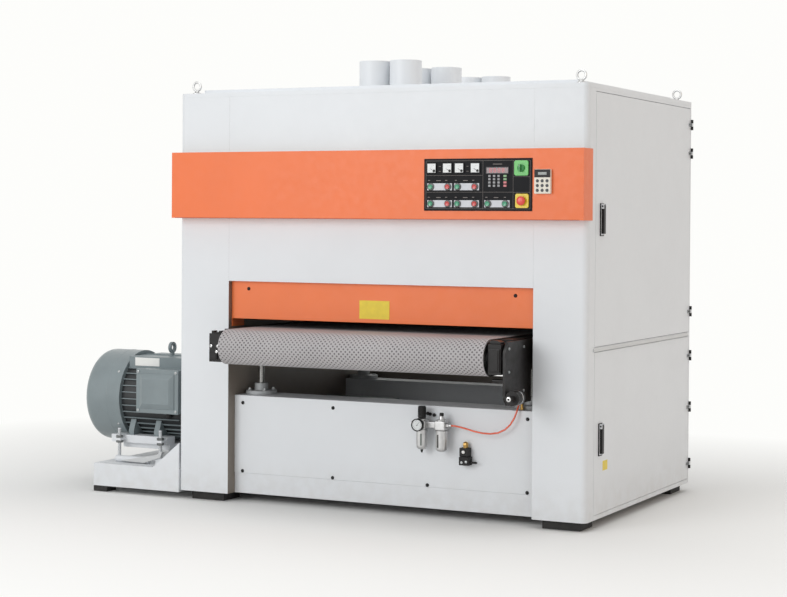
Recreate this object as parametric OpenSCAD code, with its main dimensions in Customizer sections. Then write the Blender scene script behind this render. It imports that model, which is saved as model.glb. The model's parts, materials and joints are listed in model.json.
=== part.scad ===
// Wide-belt planer sander: white cabinet on two columns, rising feed table, three heads inside.
// X runs to the machine's right, Y from its front face to its back, Z up from the floor.
// The origin is on the floor, under the middle of the cabinet's front face.

/* [Cabinet] */
// Depth of the cabinet from its front face to its back face
cab_d = 1455; // [1440:5:1600]
// Height of the roof sheet above the floor
cab_h = 1950; // [1930:5:2100]
// Gap between the floor and the cabinet
foot_h = 40; // [32:1:60]
// Width of the left column, which holds the belt drives
column_left_w = 277; // [260:1:300]
// Width of the right column, behind the service doors
column_right_w = 253; // [240:1:280]
// Thickness of the folded sheets
sheet_t = 4; // [3:0.5:6]
// Thickness of the two inner side plates that carry the heads
plate_t = 16; // [12:1:20]
// Radius of the upright front corners
corner_r = 26; // [12:1:40]
// Height of the roof tray
roof_t = 20; // [12:1:30]
// Set-back of the raised roof plate from the roof's edge
roof_inset = 83; // [75:1:100]

/* [Front panels] */
// Height of the band's lower edge
band_z = 1353; // [1330:1:1380]
// Height of the band
band_h = 312; // [300:1:330]
// How far the band stands in front of the cabinet
band_out = 67; // [50:1:90]
// How far the band wraps back along the sides
band_wrap = 45; // [30:1:60]
// Height of the entry cover's lower edge
cover_z = 876; // [872:1:900]
// Top of the entry cover
cover_top = 1055; // [1040:1:1100]
// Set-back of the entry cover
cover_back = 27; // [15:1:40]
// Depth of the entry cover with its cheeks
cover_d = 111; // [90:1:120]
// Set-back of the lower front panel
low_back = 64; // [58:1:72]
// Top of the lower front panel and its shelf
low_top = 508; // [500:1:512]
// Depth of the shelf behind the lower panel
shelf_d = 200; // [190:1:220]
// Top of the front sill below the lower panel
sill_top = 137; // [120:1:145]

/* [Work passage] */
// Clearance between the table's rails and the columns
rail_clear = 47; // [40:1:90]
// Height of the pass line, the underside of the heads
pass_z = 868; // [866:1:880]
// Thickness of the board that the table is set for
stock_t = 30; // [28:1:34]
// How far the table can go down from there
lift_down = 130; // [100:5:132]
// How far the table can go up from there
lift_up = 27; // [10:1:27]

/* [Feed table] */
// Width of the feed belt
belt_w = 1330; // [1300:5:1340]
// Thickness of the feed belt
belt_t = 4; // [3:0.5:6]
// Radius of the feed rollers
roller_r = 76; // [70:1:78]
// Place of the front roller's axis
roller_front_y = -200; // [-220:5:-190]
// Place of the rear roller's axis
roller_rear_y = 1500; // [1490:5:1560]
// Radius of the feed rollers' shafts
roller_shaft_r = 20; // [15:1:25]
// Width of the table's side rails
rail_w = 60; // [50:1:62]
// Height of the side rails
rail_h = 140; // [130:1:142]
// Radius of the lifting screws
screw_r = 16; // [12:1:18]
// Place of the front lifting screws
screw_front_y = 180; // [160:1:190]
// Place of the rear lifting screws
screw_rear_y = 1250; // [1230:1:1270]

/* [Heads] */
// Place of the cutterhead's axis
cutter_y = 350; // [345:1:360]
// Cutting radius of the cutterhead
cutter_r = 70; // [62:1:74]
// Place of the front contact roller's axis
contact_front_y = 760; // [750:1:775]
// Radius of the front contact roller
contact_front_r = 110; // [100:1:114]
// Place of the rear contact roller's axis
contact_rear_y = 1100; // [1090:1:1110]
// Radius of the rear contact roller
contact_rear_r = 90; // [80:1:94]
// Place of the sanding pad behind the rear contact roller
pad_y = 1255; // [1240:1:1262]
// Height of the tension rollers' axes
tension_z = 1645; // [1600:5:1660]
// Radius of the tension rollers
tension_r = 65; // [55:1:68]
// Thickness of the sanding belts
abrasive_t = 2; // [1.5:0.1:3]
// Radius of the head shafts
head_shaft_r = 25; // [20:1:28]
// Radius of the hold-down rollers
hold_r = 30; // [26:1:32]
// Place of the hold-down roller in front of the cutterhead
hold_front_y = 190; // [180:1:200]
// Place of the hold-down roller behind the cutterhead
hold_mid_y = 555; // [545:1:560]

/* [Main motor] */
// Place of the motor's axis behind the front face
motor_y = 350; // [345:1:360]
// Height of the motor's axis
motor_z = 449; // [440:1:460]
// Radius of the motor's body over its fins
motor_r = 212; // [205:1:218]
// Radius of the fan cowl
cowl_r = 229; // [222:1:234]
// Length of the fan cowl
cowl_l = 217; // [200:1:230]
// Length of the finned body
motor_l = 330; // [310:1:340]
// Gap between the cabinet and the motor's end shield
motor_gap = 65; // [50:1:80]
// Radius of the motor's shaft
motor_shaft_r = 30; // [26:1:32]
// Radius of the motor's belt pulley
motor_pulley_r = 125; // [110:1:130]
// Radius of the cutterhead's belt pulley
cutter_pulley_r = 68; // [60:1:80]
// Length of the motor base that stands out on the left
base_l = 500; // [490:1:520]
// Depth of the motor base
base_d = 700; // [690:5:760]
// Top of the motor base
base_top = 139; // [130:1:139]
// Gap between the floor and the motor base
base_foot = 28; // [20:1:30]
// Top of the motor's mounting plate
mount_z = 270; // [265:1:272]

/* [Dust ports] */
// Outer radius of a dust port
port_r = 75; // [60:1:78]
// Wall of a dust port
port_wall = 3; // [2:0.5:5]
// Height of the dust ports above the roof
port_h = 145; // [120:5:180]
// Place of the first column of dust ports
port_x = -120; // [-130:5:-110]
// Spacing of the two columns of dust ports
port_pitch = 160; // [160:1:180]

/* [Control panel] */
// Width of the control panel
panel_w = 520; // [510:1:560]
// Height of the control panel
panel_h = 231; // [228:1:250]
// Distance from the cabinet's right edge to the control panel's middle
panel_in = 493; // [485:1:505]
// Thickness of the control panel
panel_t = 3; // [2:0.5:5]
// Radius of a push button
button_r = 11; // [9:0.5:12]
// Travel of a push button
button_travel = 4; // [3:0.5:5]
// Radius of the emergency stop's head
stop_r = 20; // [16:1:22]
// Radius of the main switch's knob
switch_r = 17; // [14:1:20]

/* [Service doors] */
// Distance from the front face to the doors' front edge
door_front = 92; // [88:1:110]
// Depth of the doors' folded edge
door_t = 30; // [24:1:34]
// Lower edge of the upper door
door_up_z = 798; // [796:1:810]
// Upper edge of the lower door
door_low_top = 778; // [760:1:782]
// Gap round each door
door_gap = 2; // [1:0.5:3]
// Radius of the hinge barrels
hinge_r = 6; // [5:0.5:8]
// Length of a door handle's lever
handle_l = 128; // [110:1:140]

/* [Compressed air] */
// Place of the regulator's middle
air_x = 249; // [240:1:255]
// Height of the air line through both units
air_z = 428; // [424:1:432]
// Radius of the regulator's bowl
bowl_r = 26; // [22:0.5:28]
// Diameter of the air hose
hose_d = 8; // [6:0.5:10]

/* [Hidden] */
$fn = 64;

// Overrun of every cut, the seat clearance and the clearance of a shaft in its bore
cut = 1;
seat = 0.3;
fit = 0.08;

// Colours of the finished machine
white_c = [0.88, 0.89, 0.91];
orange_c = [0.95, 0.49, 0.29];
black_c = [0.13, 0.12, 0.12];
steel_c = [0.66, 0.67, 0.69];
motor_c = [0.60, 0.68, 0.68];
grey_c = [0.74, 0.73, 0.74];
rubber_c = [0.16, 0.16, 0.17];
brass_c = [0.80, 0.66, 0.35];
cast_c = [0.45, 0.47, 0.48];

// Edges of the cabinet and of the passage between its columns, set by the belt and its rails
rail_gap = 8;
cab_w = column_left_w + column_right_w + belt_w + 2 * (rail_gap + rail_w + rail_clear);
left_x = -cab_w / 2;
right_x = cab_w / 2;
pass_x0 = left_x + column_left_w;
pass_x1 = right_x - column_right_w;
pass_w = pass_x1 - pass_x0;
mid_x = (pass_x0 + pass_x1) / 2;
top_z = cab_h - roof_t;
wall_x0 = pass_x0 - plate_t;
wall_x1 = pass_x1 + plate_t;

// Heights of the heads' axes, from the pass line up
head_rise = pass_z + abrasive_t + seat;
cutter_z = pass_z + cutter_r;
contact_front_z = head_rise + contact_front_r;
contact_rear_z = head_rise + contact_rear_r;
hold_z = pass_z + seat + hold_r;
tension_rear_y = contact_rear_y + contact_rear_r / 2;

// The feed table: belt top, roller axis, rails and lifting screws
table_z = pass_z - stock_t;
roller_z = table_z - belt_t - roller_r - seat;
belt_x0 = mid_x - belt_w / 2;
belt_x1 = mid_x + belt_w / 2;
rail_top = table_z - belt_t;
rail_bottom = rail_top - rail_h;
rail_left_x = belt_x0 - rail_gap - rail_w;
rail_right_x = belt_x1 + rail_gap;
rail_front_y = roller_front_y + roller_r + belt_t + rail_gap;
rail_rear_y = roller_rear_y - roller_r - belt_t - rail_gap;
screw_xs = [rail_left_x + rail_w / 2, rail_right_x + rail_w / 2];
screw_ys = [screw_front_y, screw_rear_y];
jack_top = rail_bottom - lift_down - 12 * seat;

// Ends of the main motor along X
shield_l = 40;
motor_x1 = left_x - motor_gap;
motor_x0 = motor_x1 - shield_l - motor_l;
cowl_x0 = motor_x0 - cowl_l;

// A flat shape in (Y, Z) drawn out along X
module along_x(x0, length) {
    translate([x0, 0, 0])
        rotate([90, 0, 90])
            linear_extrude(length)
                children();
}

// A flat shape in (X, Z) drawn out along Y
module along_y(y0, length) {
    translate([0, y0 + length, 0])
        rotate([90, 0, 0])
            linear_extrude(length)
                children();
}

// A flat shape in (X, Y) drawn out along Z
module along_z(z0, length) {
    translate([0, 0, z0])
        linear_extrude(length)
            children();
}

// A box between two corners
module block(low, high) {
    translate(low)
        cube(high - low);
}

// Round bars along each axis
module rod_x(x0, x1, y, z, r) {
    translate([x0, y, z])
        rotate([0, 90, 0])
            cylinder(r = r, h = x1 - x0);
}

module rod_y(x, y0, y1, z, r) {
    translate([x, y1, z])
        rotate([90, 0, 0])
            cylinder(r = r, h = y1 - y0);
}

module rod_z(x, y, z0, z1, r) {
    translate([x, y, z0])
        cylinder(r = r, h = z1 - z0);
}

// The outside normal of the tangent from one circle to the next, circles taken anticlockwise
function tangent_angle(p, q, rp, rq) =
    atan2(q[1] - p[1], q[0] - p[0]) - acos((rp - rq) / norm(q - p));

// Points of a belt's outline round circles [y, z, r], grown by its thickness
function belt_points(rounds, grow) = [
    for (i = [0 : len(rounds) - 1])
        let (a = rounds[i], b = rounds[(i + 1) % len(rounds)],
             p = [a[0], a[1]], q = [b[0], b[1]],
             t = tangent_angle(p, q, a[2], b[2]), n = [cos(t), sin(t)])
            each [p + (a[2] + grow) * n, q + (b[2] + grow) * n]
];

module belt_outline(rounds, grow) {
    polygon(belt_points(rounds, grow));
    for (c = rounds)
        translate([c[0], c[1]])
            circle(c[2] + grow);
}

// A closed belt round circles [y, z, r]
module belt_loop(rounds, x0, width, thickness) {
    along_x(x0, width)
        difference() {
            belt_outline(rounds, thickness);
            belt_outline(rounds, 0);
        }
}

// Plan of a cabinet column with its one round front corner, drawn in by inset all round
module column_plan(x0, x1, corner_left, inset, inner) {
    a = corner_left ? x0 + inset : x0 + inner;
    b = corner_left ? x1 - inner : x1 - inset;
    r = corner_r - inset;
    c = corner_left ? a + r : b - r;
    difference() {
        translate([a, inset])
            square([b - a, cab_d - 2 * inset]);
        difference() {
            translate([corner_left ? a - cut : c, inset - cut])
                square([r + cut, r + cut]);
            translate([c, inset + r])
                circle(r);
        }
    }
}

module column_shell(x0, x1, corner_left) {
    along_z(foot_h, top_z - foot_h)
        difference() {
            column_plan(x0, x1, corner_left, 0, 0);
            column_plan(x0, x1, corner_left, sheet_t, plate_t);
        }
}

// Base frame: side sills, the cross beams between them and the motor base on the left
beam_w = 120;
jack_beam_z = low_top - sheet_t - beam_w;
cradle_w = 60;
sill_x1 = right_x - door_t - 2 * sheet_t;
gusset_l = 150;
gusset_h = 127;
sill_d = 60;

module side_sill(x0, x1) {
    difference() {
        along_z(foot_h, beam_w)
            sill_plan(x0, x1, 0);
        along_z(foot_h - cut, beam_w - 2 * sheet_t + cut)
            sill_plan(x0, x1, 2 * sheet_t);
    }
}

// Plan of a side sill, drawn in by inset, its left front corner round as the column's is
module sill_plan(x0, x1, inset) {
    difference() {
        translate([x0 + inset, sheet_t + inset])
            square([x1 - x0 - 2 * inset, cab_d - 2 * sheet_t - 2 * inset]);
        difference() {
            translate([x0 + inset - cut, sheet_t + inset - cut])
                square([corner_r - inset + cut, corner_r - inset + cut]);
            translate([x0 + corner_r, sheet_t + corner_r])
                circle(corner_r - inset);
        }
    }
}

module cross_beam(y0, y1, z0, z1) {
    block([pass_x0, y0, z0], [pass_x1, y1, z1]);
}

module motor_base() {
    difference() {
        block([left_x - base_l, 0, base_foot], [left_x, base_d, base_top]);
        block([left_x - base_l + sheet_t, sheet_t, base_foot - cut],
              [left_x - sheet_t, base_d - sheet_t, base_top - 2 * sheet_t]);
    }
    for (y = [0, base_d - 2 * sheet_t])
        along_y(y, 2 * sheet_t)
            polygon([[left_x - gusset_l, base_top], [left_x, base_top], [left_x, base_top + gusset_h]]);
}

module base_frame() {
    color(white_c) {
        side_sill(left_x + sheet_t, wall_x0);
        side_sill(wall_x1, sill_x1);
        cross_beam(low_back, low_back + sill_d, foot_h, sill_top);
        cross_beam(cab_d - low_back - sill_d, cab_d - low_back, foot_h, sill_top);
        for (y = [sanding_motor_y - sanding_motor_r, sanding_motor_y + sanding_motor_r - cradle_w])
            cross_beam(y, y + cradle_w, foot_h, sill_top);
        for (y = screw_ys)
            difference() {
                cross_beam(y - beam_w / 2, y + beam_w / 2, jack_beam_z, low_top - sheet_t);
                for (x = screw_xs)
                    rod_z(x, y, jack_beam_z - cut, low_top, screw_r + sheet_t);
            }
        motor_base();
    }
}

// Left column: closed box round the belt drives, with its shaft holes
shaft_hole_r = 45;

module left_column() {
    color(white_c)
        difference() {
            column_shell(left_x, pass_x0, true);
            rod_x(left_x - cut, left_x + sheet_t + cut, motor_y, motor_z, shaft_hole_r + sheet_t);
            for (p = [[cutter_y, cutter_z], [contact_front_y, contact_front_z],
                      [contact_rear_y, contact_rear_z], [sanding_motor_y, sanding_motor_z]])
                rod_x(wall_x0 - cut, pass_x0 + cut, p[0], p[1], shaft_hole_r);
        }
}

// Right column: open behind the two doors, with belt slots in its inner plate
door_rear_in = 14;
door_rear = cab_d - door_rear_in;
door_low_z = foot_h + sheet_t * 5;
door_up_top = top_z - sheet_t * 3;
slot_edge = 25;
slot_low_z = pass_z + seat + cut;
slot_top_z = tension_z + tension_r + slot_edge;
gland_r = 16;
gland_z = 220;

slots = [
    [contact_front_y - contact_front_r - slot_edge, contact_front_y + contact_front_r + slot_edge],
    [contact_rear_y - contact_rear_r - slot_edge, pad_y + slot_edge]
];

module right_column() {
    color(white_c)
        difference() {
            union() {
                column_shell(pass_x1, right_x, false);
                for (d = [[door_low_z, door_low_top], [door_up_z, door_up_top]])
                    block([right_x - door_t - sheet_t, door_front - sheet_t, d[0]],
                          [right_x - sheet_t / 2, door_front, d[1]]);
            }
            for (d = [[door_low_z, door_low_top], [door_up_z, door_up_top]])
                block([right_x - sheet_t - cut, door_front, d[0]], [right_x + cut, door_rear, d[1]]);
            for (y = slots)
                block([pass_x1 - cut, y[0], slot_low_z], [wall_x1 + cut, y[1], slot_top_z]);
            rod_y((wall_x1 + right_x) / 2, cab_d - sheet_t - cut, cab_d + cut, gland_z, gland_r);
        }
}

// Sheet across the front above the entry cover, folded back along its lower edge
module upper_front_panel() {
    color(white_c) {
        block([pass_x0, 0, cover_top], [pass_x1, sheet_t, top_z]);
        block([pass_x0, sheet_t, cover_top], [pass_x1, cover_back + cover_d, cover_top + sheet_t]);
    }
}

// Roof: a shallow tray with the raised plate that the dust ports stand on
port_ahead = 100;
port_mid_ahead = 60;
port_behind = 55;
port_ys = [cutter_y - port_ahead, contact_front_y - port_mid_ahead, pad_y + port_behind];

module roof_plan(inset) {
    difference() {
        translate([left_x + inset, inset])
            square([cab_w - 2 * inset, cab_d - 2 * inset]);
        for (s = [-1, 1])
            difference() {
                translate([s * (right_x - corner_r / 2 + cut / 2), inset + corner_r / 2 - cut / 2])
                    square([corner_r - 2 * inset + cut, corner_r + cut], center = true);
                translate([s * (right_x - corner_r), corner_r])
                    circle(corner_r - inset);
            }
    }
}

module roof_panel() {
    color(white_c)
        difference() {
            union() {
                along_z(top_z, roof_t)
                    roof_plan(0);
                block([left_x + roof_inset, roof_inset, cab_h - sheet_t],
                      [right_x - roof_inset, cab_d - roof_inset, cab_h + roof_t]);
            }
            block([left_x + corner_r, corner_r, top_z - cut],
                  [right_x - corner_r, cab_d - corner_r, cab_h - sheet_t]);
            block([left_x + roof_inset + sheet_t, roof_inset + sheet_t, top_z - cut],
                  [right_x - roof_inset - sheet_t, cab_d - roof_inset - sheet_t, cab_h + roof_t - sheet_t]);
            for (y = port_ys, x = [port_x, port_x + port_pitch])
                rod_z(x, y, top_z - cut, cab_h + roof_t + cut, port_r + seat);
        }
}

rear_clear = 12;
rear_low_top = roller_z - roller_r - belt_t - lift_down - rear_clear;

// Back sheets above and below the outfeed, clear of the lowered table
module rear_panels() {
    color(white_c) {
        block([pass_x0, cab_d - sheet_t, cover_z], [pass_x1, cab_d, top_z]);
        block([pass_x0, cab_d - low_back, sill_top], [pass_x1, cab_d - low_back + sheet_t, rear_low_top]);
    }
}

// Band across the front: a folded trough that holds the control wiring
module front_band() {
    color(orange_c) {
        difference() {
            along_z(band_z, band_h)
                polygon([
                    [left_x - sheet_t, -band_out], [right_x + sheet_t, -band_out], [right_x + sheet_t, band_wrap],
                    [right_x, band_wrap], [right_x, -band_out + sheet_t], [left_x, -band_out + sheet_t],
                    [left_x, band_wrap], [left_x - sheet_t, band_wrap]
                ]);
            block([panel_x - panel_w / 2 + panel_edge, -band_out - cut, panel_z - panel_h / 2 + panel_edge],
                  [panel_x + panel_w / 2 - panel_edge, -band_out + sheet_t + cut, panel_z + panel_h / 2 - panel_edge]);
        }
        for (z = [band_z, band_z + band_h - sheet_t])
            difference() {
                block([left_x, -band_out + sheet_t, z], [right_x, corner_r, z + sheet_t]);
                translate([0, 0, z - cut])
                    linear_extrude(sheet_t + 2 * cut)
                        difference() {
                            translate([left_x - cut, 0])
                                square([cab_w + 2 * cut, corner_r + cut]);
                            corner_fill();
                        }
            }
    }
}

// The two gores between the band's shelves and the cabinet's round corners
module corner_fill() {
    for (s = [-1, 1])
        difference() {
            translate([s * (right_x - corner_r / 2), corner_r / 2])
                square(corner_r, center = true);
            translate([s * (right_x - corner_r), corner_r])
                circle(corner_r);
        }
}

// Cover over the entry, with a cheek at each end
cheek_drop = 38;
lip_h = 14;

module entry_cover() {
    color(orange_c) {
        block([pass_x0, cover_back, cover_z], [pass_x1, cover_back + sheet_t, cover_top]);
        block([pass_x0, cover_back + sheet_t, cover_z],
              [pass_x1, cover_back + lip_h + sheet_t, cover_z + sheet_t]);
        for (x = [pass_x0, pass_x1 - sheet_t])
            block([x, cover_back, cover_z - cheek_drop], [x + sheet_t, cover_back + cover_d, cover_top]);
    }
}

// Lower front panel with its shelf and the holes for the lifting screws
module lower_front_panel() {
    color(white_c)
        difference() {
            union() {
                block([pass_x0, low_back - sheet_t, sill_top], [pass_x1, low_back, low_top]);
                block([pass_x0, low_back, low_top - sheet_t], [pass_x1, low_back + shelf_d, low_top]);
            }
            for (x = screw_xs)
                rod_z(x, screw_front_y, low_top - sheet_t - cut, low_top + cut, screw_r + sheet_t);
        }
}

// Round-headed screws of the lower panel and the entry cover
panel_screw_r = 9;
panel_screw_h = 7;
panel_screw_edge = 46;
panel_screw_rise = 36;
cover_screw_in = 95;

module panel_screws() {
    color(black_c) {
        for (i = [0 : 3], z = [sill_top + panel_screw_r, low_top - panel_screw_rise])
            rod_y(pass_x0 + panel_screw_edge + i * (pass_w - 2 * panel_screw_edge) / 3,
                  low_back - sheet_t - panel_screw_h, low_back - sheet_t, z, panel_screw_r);
        for (x = [pass_x0 + cover_screw_in, pass_x1 - cover_screw_in])
            rod_y(x, cover_back - panel_screw_h, cover_back, cover_top - panel_screw_rise, panel_screw_r);
    }
}

// Dust ports: pairs of spigots on a hood, and a chute from each hood down to its head
hood_x = port_x + port_pitch / 2;
hood_w = 920;
hood_h = 110;
hood_half = 88;
chute_d = 52;
chute_zs = [cutter_z + cutter_r / 2, contact_front_z, contact_rear_z];
chute_ys = [port_ys[0] - hood_half, contact_front_y - contact_front_r - 2 * slot_edge - chute_d / 2,
            pad_y + slot_edge];
collar_w = 12;
collar_r = port_r + collar_w;
collar_t = 6;
hood_top = top_z - slot_edge;

module hood(y, chute_y, chute_z) {
    low_z = hood_top - hood_h;
    y0 = min(y - hood_half, chute_y);
    difference() {
        union() {
            block([hood_x - hood_w / 2, y0, low_z], [hood_x + hood_w / 2, y + hood_half, hood_top]);
            block([hood_x - hood_w / 2, chute_y, chute_z],
                  [hood_x + hood_w / 2, chute_y + chute_d, low_z + sheet_t]);
        }
        block([hood_x - hood_w / 2 + sheet_t, y0 + sheet_t, low_z + sheet_t],
              [hood_x + hood_w / 2 - sheet_t, y + hood_half - sheet_t, hood_top - sheet_t]);
        block([hood_x - hood_w / 2 + sheet_t, chute_y + sheet_t, chute_z - cut],
              [hood_x + hood_w / 2 - sheet_t, chute_y + chute_d - sheet_t, low_z + 2 * sheet_t]);
        for (x = [port_x, port_x + port_pitch])
            rod_z(x, y, hood_top - sheet_t - cut, hood_top + cut, port_r - port_wall);
    }
}

module spigot(x, y) {
    difference() {
        union() {
            rod_z(x, y, hood_top, cab_h + port_h, port_r);
            rod_z(x, y, cab_h + roof_t, cab_h + roof_t + collar_t, collar_r - (collar_r - port_r) / 2);
        }
        rod_z(x, y, hood_top - cut, cab_h + port_h + cut, port_r - port_wall);
    }
}

module dust_ports() {
    color(white_c)
        for (i = [0 : len(port_ys) - 1]) {
            hood(port_ys[i], chute_ys[i], chute_zs[i]);
            for (x = [port_x, port_x + port_pitch])
                spigot(x, port_ys[i]);
        }
}

// Lifting eyes: an upright ring on a shank at each corner of the roof
eye_r = 28;
eye_bore_r = 15;
eye_t = 14;
eye_in = 57;
eye_shank_r = 11;
eye_shank_h = 22;
eye_xs = [left_x + eye_in, right_x - eye_in];
eye_ys = [eye_in, cab_d - eye_in];

module lifting_eyes() {
    color(steel_c)
        for (x = eye_xs, y = eye_ys)
            difference() {
                union() {
                    rod_z(x, y, cab_h, cab_h + eye_shank_h, eye_shank_r);
                    rod_z(x, y, cab_h, cab_h + eye_t / 2, eye_r * 3 / 4);
                    rod_y(x, y - eye_t / 2, y + eye_t / 2, cab_h + eye_shank_h + eye_bore_r, eye_r);
                }
                rod_y(x, y - eye_t, y + eye_t, cab_h + eye_shank_h + eye_bore_r, eye_bore_r);
            }
}

// Floor pads under the columns and the motor base
pad_w = 180;
pad_d = 150;
pad_in = 60;
pad_stem_r = 20;
base_pad = 80;

module floor_pads() {
    color(rubber_c) {
        for (x = [left_x + pad_in, right_x - pad_in - pad_w + corner_r], y = [corner_r, cab_d - corner_r - pad_d])
            {
                block([x, y, 0], [x + pad_w, y + pad_d, foot_h]);
                rod_z(x + pad_w / 2, y + pad_d / 2, foot_h, foot_h + beam_w - 2 * sheet_t, pad_stem_r);
            }
        for (y = [0, base_d - base_pad])
            block([left_x - base_l, y, 0], [left_x - base_l + base_pad, y + base_pad, base_foot]);
    }
}

// Hinges at the right side's back edge: three barrels each, the middle one on the door
hinge_x = right_x + hinge_r;
hinge_y = cab_d - hinge_r / 2;
hinge_pin_r = 3;
barrel_h = 17;
leaf_t = 3;
leaf_l = 44;
hinge_up_shares = [0.0929, 0.7991, 0.9268];
hinge_low_shares = [0.11, 0.5056, 0.8649];
hinge_up_zs = [for (s = hinge_up_shares) door_up_z + s * (door_up_top - door_up_z)];
hinge_low_zs = [for (s = hinge_low_shares) door_low_z + s * (door_low_top - door_low_z)];

module door_hinges() {
    color(black_c)
        for (z = concat(hinge_low_zs, hinge_up_zs)) {
            rod_z(hinge_x, hinge_y, z - barrel_h * 3 / 2, z + barrel_h * 3 / 2, hinge_pin_r);
            for (s = [-1, 1])
                translate([0, 0, z + s * (barrel_h + seat) - barrel_h / 2]) {
                    rod_z(hinge_x, hinge_y, 0, barrel_h, hinge_r);
                    block([right_x, hinge_y, 0], [right_x + leaf_t, cab_d, barrel_h]);
                }
        }
}

module door_barrel(z) {
    difference() {
        union() {
            rod_z(hinge_x, hinge_y, z - barrel_h / 2, z + barrel_h / 2, hinge_r);
            block([right_x, hinge_y - leaf_l, z - barrel_h / 2], [right_x + leaf_t, hinge_y, z + barrel_h / 2]);
        }
        rod_z(hinge_x, hinge_y, z - barrel_h, z + barrel_h, hinge_pin_r + fit);
    }
}

// A door: a folded tray with its hinge barrels and handle plate
handle_in = 75;
handle_y = door_front + handle_in;
handle_w = 22;
handle_t = 12;
handle_pin_r = 4;
handle_plate_t = 4;
handle_edge = 7;
handle_ear_t = 5;
handle_up_z = 1416;
handle_low_z = 448;
handle_x = right_x + handle_plate_t + seat + handle_t / 2;

module door(z0, z1, hinge_zs, handle_z) {
    difference() {
        union() {
            difference() {
                block([right_x - door_t, door_front + door_gap, z0 + door_gap],
                      [right_x, door_rear - door_gap, z1 - door_gap]);
                block([right_x - door_t - cut, door_front + door_gap + sheet_t, z0 + door_gap + sheet_t],
                      [right_x - sheet_t, door_rear - door_gap - sheet_t, z1 - door_gap - sheet_t]);
            }
            for (z = hinge_zs)
                door_barrel(z);
            block([right_x, handle_y - handle_w / 2 - handle_edge, handle_z - handle_l],
                  [right_x + handle_plate_t, handle_y + handle_w / 2 + handle_edge, handle_z + handle_w / 2]);
            for (s = [-1, 1])
                translate([right_x, handle_y + s * (handle_w / 2 + seat + handle_ear_t / 2) - handle_ear_t / 2, handle_z])
                    translate([0, 0, -handle_w / 2])
                        cube([handle_plate_t + seat + handle_t, handle_ear_t, handle_w]);
        }
        rod_y(handle_x, handle_y - handle_w, handle_y + handle_w, handle_z, handle_pin_r + fit);
    }
}

module upper_door() {
    color(white_c)
        door(door_up_z, door_up_top, hinge_up_zs, handle_up_z);
}

module lower_door() {
    color(white_c)
        door(door_low_z, door_low_top, hinge_low_zs, handle_low_z);
}

// A door handle: a lever that swings out from its plate on a cross pin
module handle(z) {
    color(black_c) {
        rod_y(handle_x, handle_y - handle_w / 2 - seat - handle_ear_t, handle_y + handle_w / 2 + seat + handle_ear_t,
              z, handle_pin_r);
        rod_y(handle_x, handle_y - handle_w / 2, handle_y + handle_w / 2, z, handle_t / 2);
        block([handle_x - handle_t / 2, handle_y - handle_w / 2, z - handle_l + handle_edge],
              [handle_x + handle_t / 2, handle_y + handle_w / 2, z]);
    }
}

// Control panel: plate with the holes and bezels of its buttons
panel_x = right_x - panel_in;
panel_rise = 154.5;
panel_z = band_z + panel_rise;
panel_edge = 12;
panel_y = -band_out;
row_low_drop = 84;
row_high_drop = 9;
button_low_z = panel_z - row_low_drop;
button_high_z = panel_z - row_high_drop;
pair_half = 41.5;
pair_shares = [-0.3538, -0.1019, 0.1788];
pair_xs = [for (s = pair_shares) s * panel_w];
bezel_w = 4;
bezel_r = button_r + bezel_w;
bezel_h = 5;
stop_in = 46;
stop_drop = 71;
switch_in = 50;
switch_rise = 72;
stop_at = [panel_x + panel_w / 2 - stop_in, panel_z - stop_drop];
switch_at = [panel_x + panel_w / 2 - switch_in, panel_z + switch_rise];
start_at = [
    [panel_x + pair_xs[0] - pair_half, button_high_z], [panel_x + pair_xs[1] - pair_half, button_high_z],
    [panel_x + pair_xs[0] - pair_half, button_low_z], [panel_x + pair_xs[1] - pair_half, button_low_z],
    [panel_x + pair_xs[2] - pair_half, button_low_z], [panel_x + pair_xs[2] + pair_half, button_low_z]
];
stop_buttons_at = [
    [panel_x + pair_xs[0] + pair_half, button_high_z], [panel_x + pair_xs[1] + pair_half, button_high_z],
    [panel_x + pair_xs[0] + pair_half, button_low_z], [panel_x + pair_xs[1] + pair_half, button_low_z]
];
control_stem_r = 8;

module control_panel() {
    color(black_c)
        difference() {
            union() {
                block([panel_x - panel_w / 2, panel_y - panel_t, panel_z - panel_h / 2],
                      [panel_x + panel_w / 2, panel_y, panel_z + panel_h / 2]);
                for (p = concat(start_at, stop_buttons_at))
                    rod_y(p[0], panel_y - panel_t - bezel_h, panel_y - panel_t, p[1], bezel_r);
            }
            for (p = concat(start_at, stop_buttons_at))
                rod_y(p[0], panel_y - panel_t - bezel_h - cut, panel_y + cut, p[1], button_r + fit);
            for (p = [stop_at, switch_at])
                rod_y(p[0], panel_y - panel_t - cut, panel_y + cut, p[1], control_stem_r + fit);
        }
}

module push_button(p, tint) {
    color(tint)
        rod_y(p[0], panel_y - panel_t - bezel_h - button_travel - cut, panel_y, p[1], button_r);
}

module emergency_stop() {
    color([0.82, 0.10, 0.10])
        translate([stop_at[0], panel_y, stop_at[1]])
            rotate([90, 0, 0])
                rotate_extrude()
                    polygon([
                        [0, 0], [control_stem_r, 0], [control_stem_r, instrument_t + panel_t + 2 * button_travel],
                        [stop_r, instrument_t + panel_t + 2 * button_travel],
                        [stop_r, instrument_t + panel_t + 3 * button_travel],
                        [stop_r * 0.6, instrument_t + panel_t + 4 * button_travel],
                        [0, instrument_t + panel_t + 4.5 * button_travel]
                    ]);
}

module main_switch() {
    color([0.16, 0.55, 0.30])
        translate([switch_at[0], panel_y, switch_at[1]])
            rotate([90, 0, 0]) {
                cylinder(r = control_stem_r, h = panel_t + instrument_t + seat + cut);
                translate([0, 0, panel_t + instrument_t + seat])
                    cylinder(r = switch_r, h = handle_t);
                translate([-switch_r / 4, -switch_r, panel_t + instrument_t + seat])
                    cube([switch_r / 2, 2 * switch_r, 2 * handle_t]);
            }
}

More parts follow.
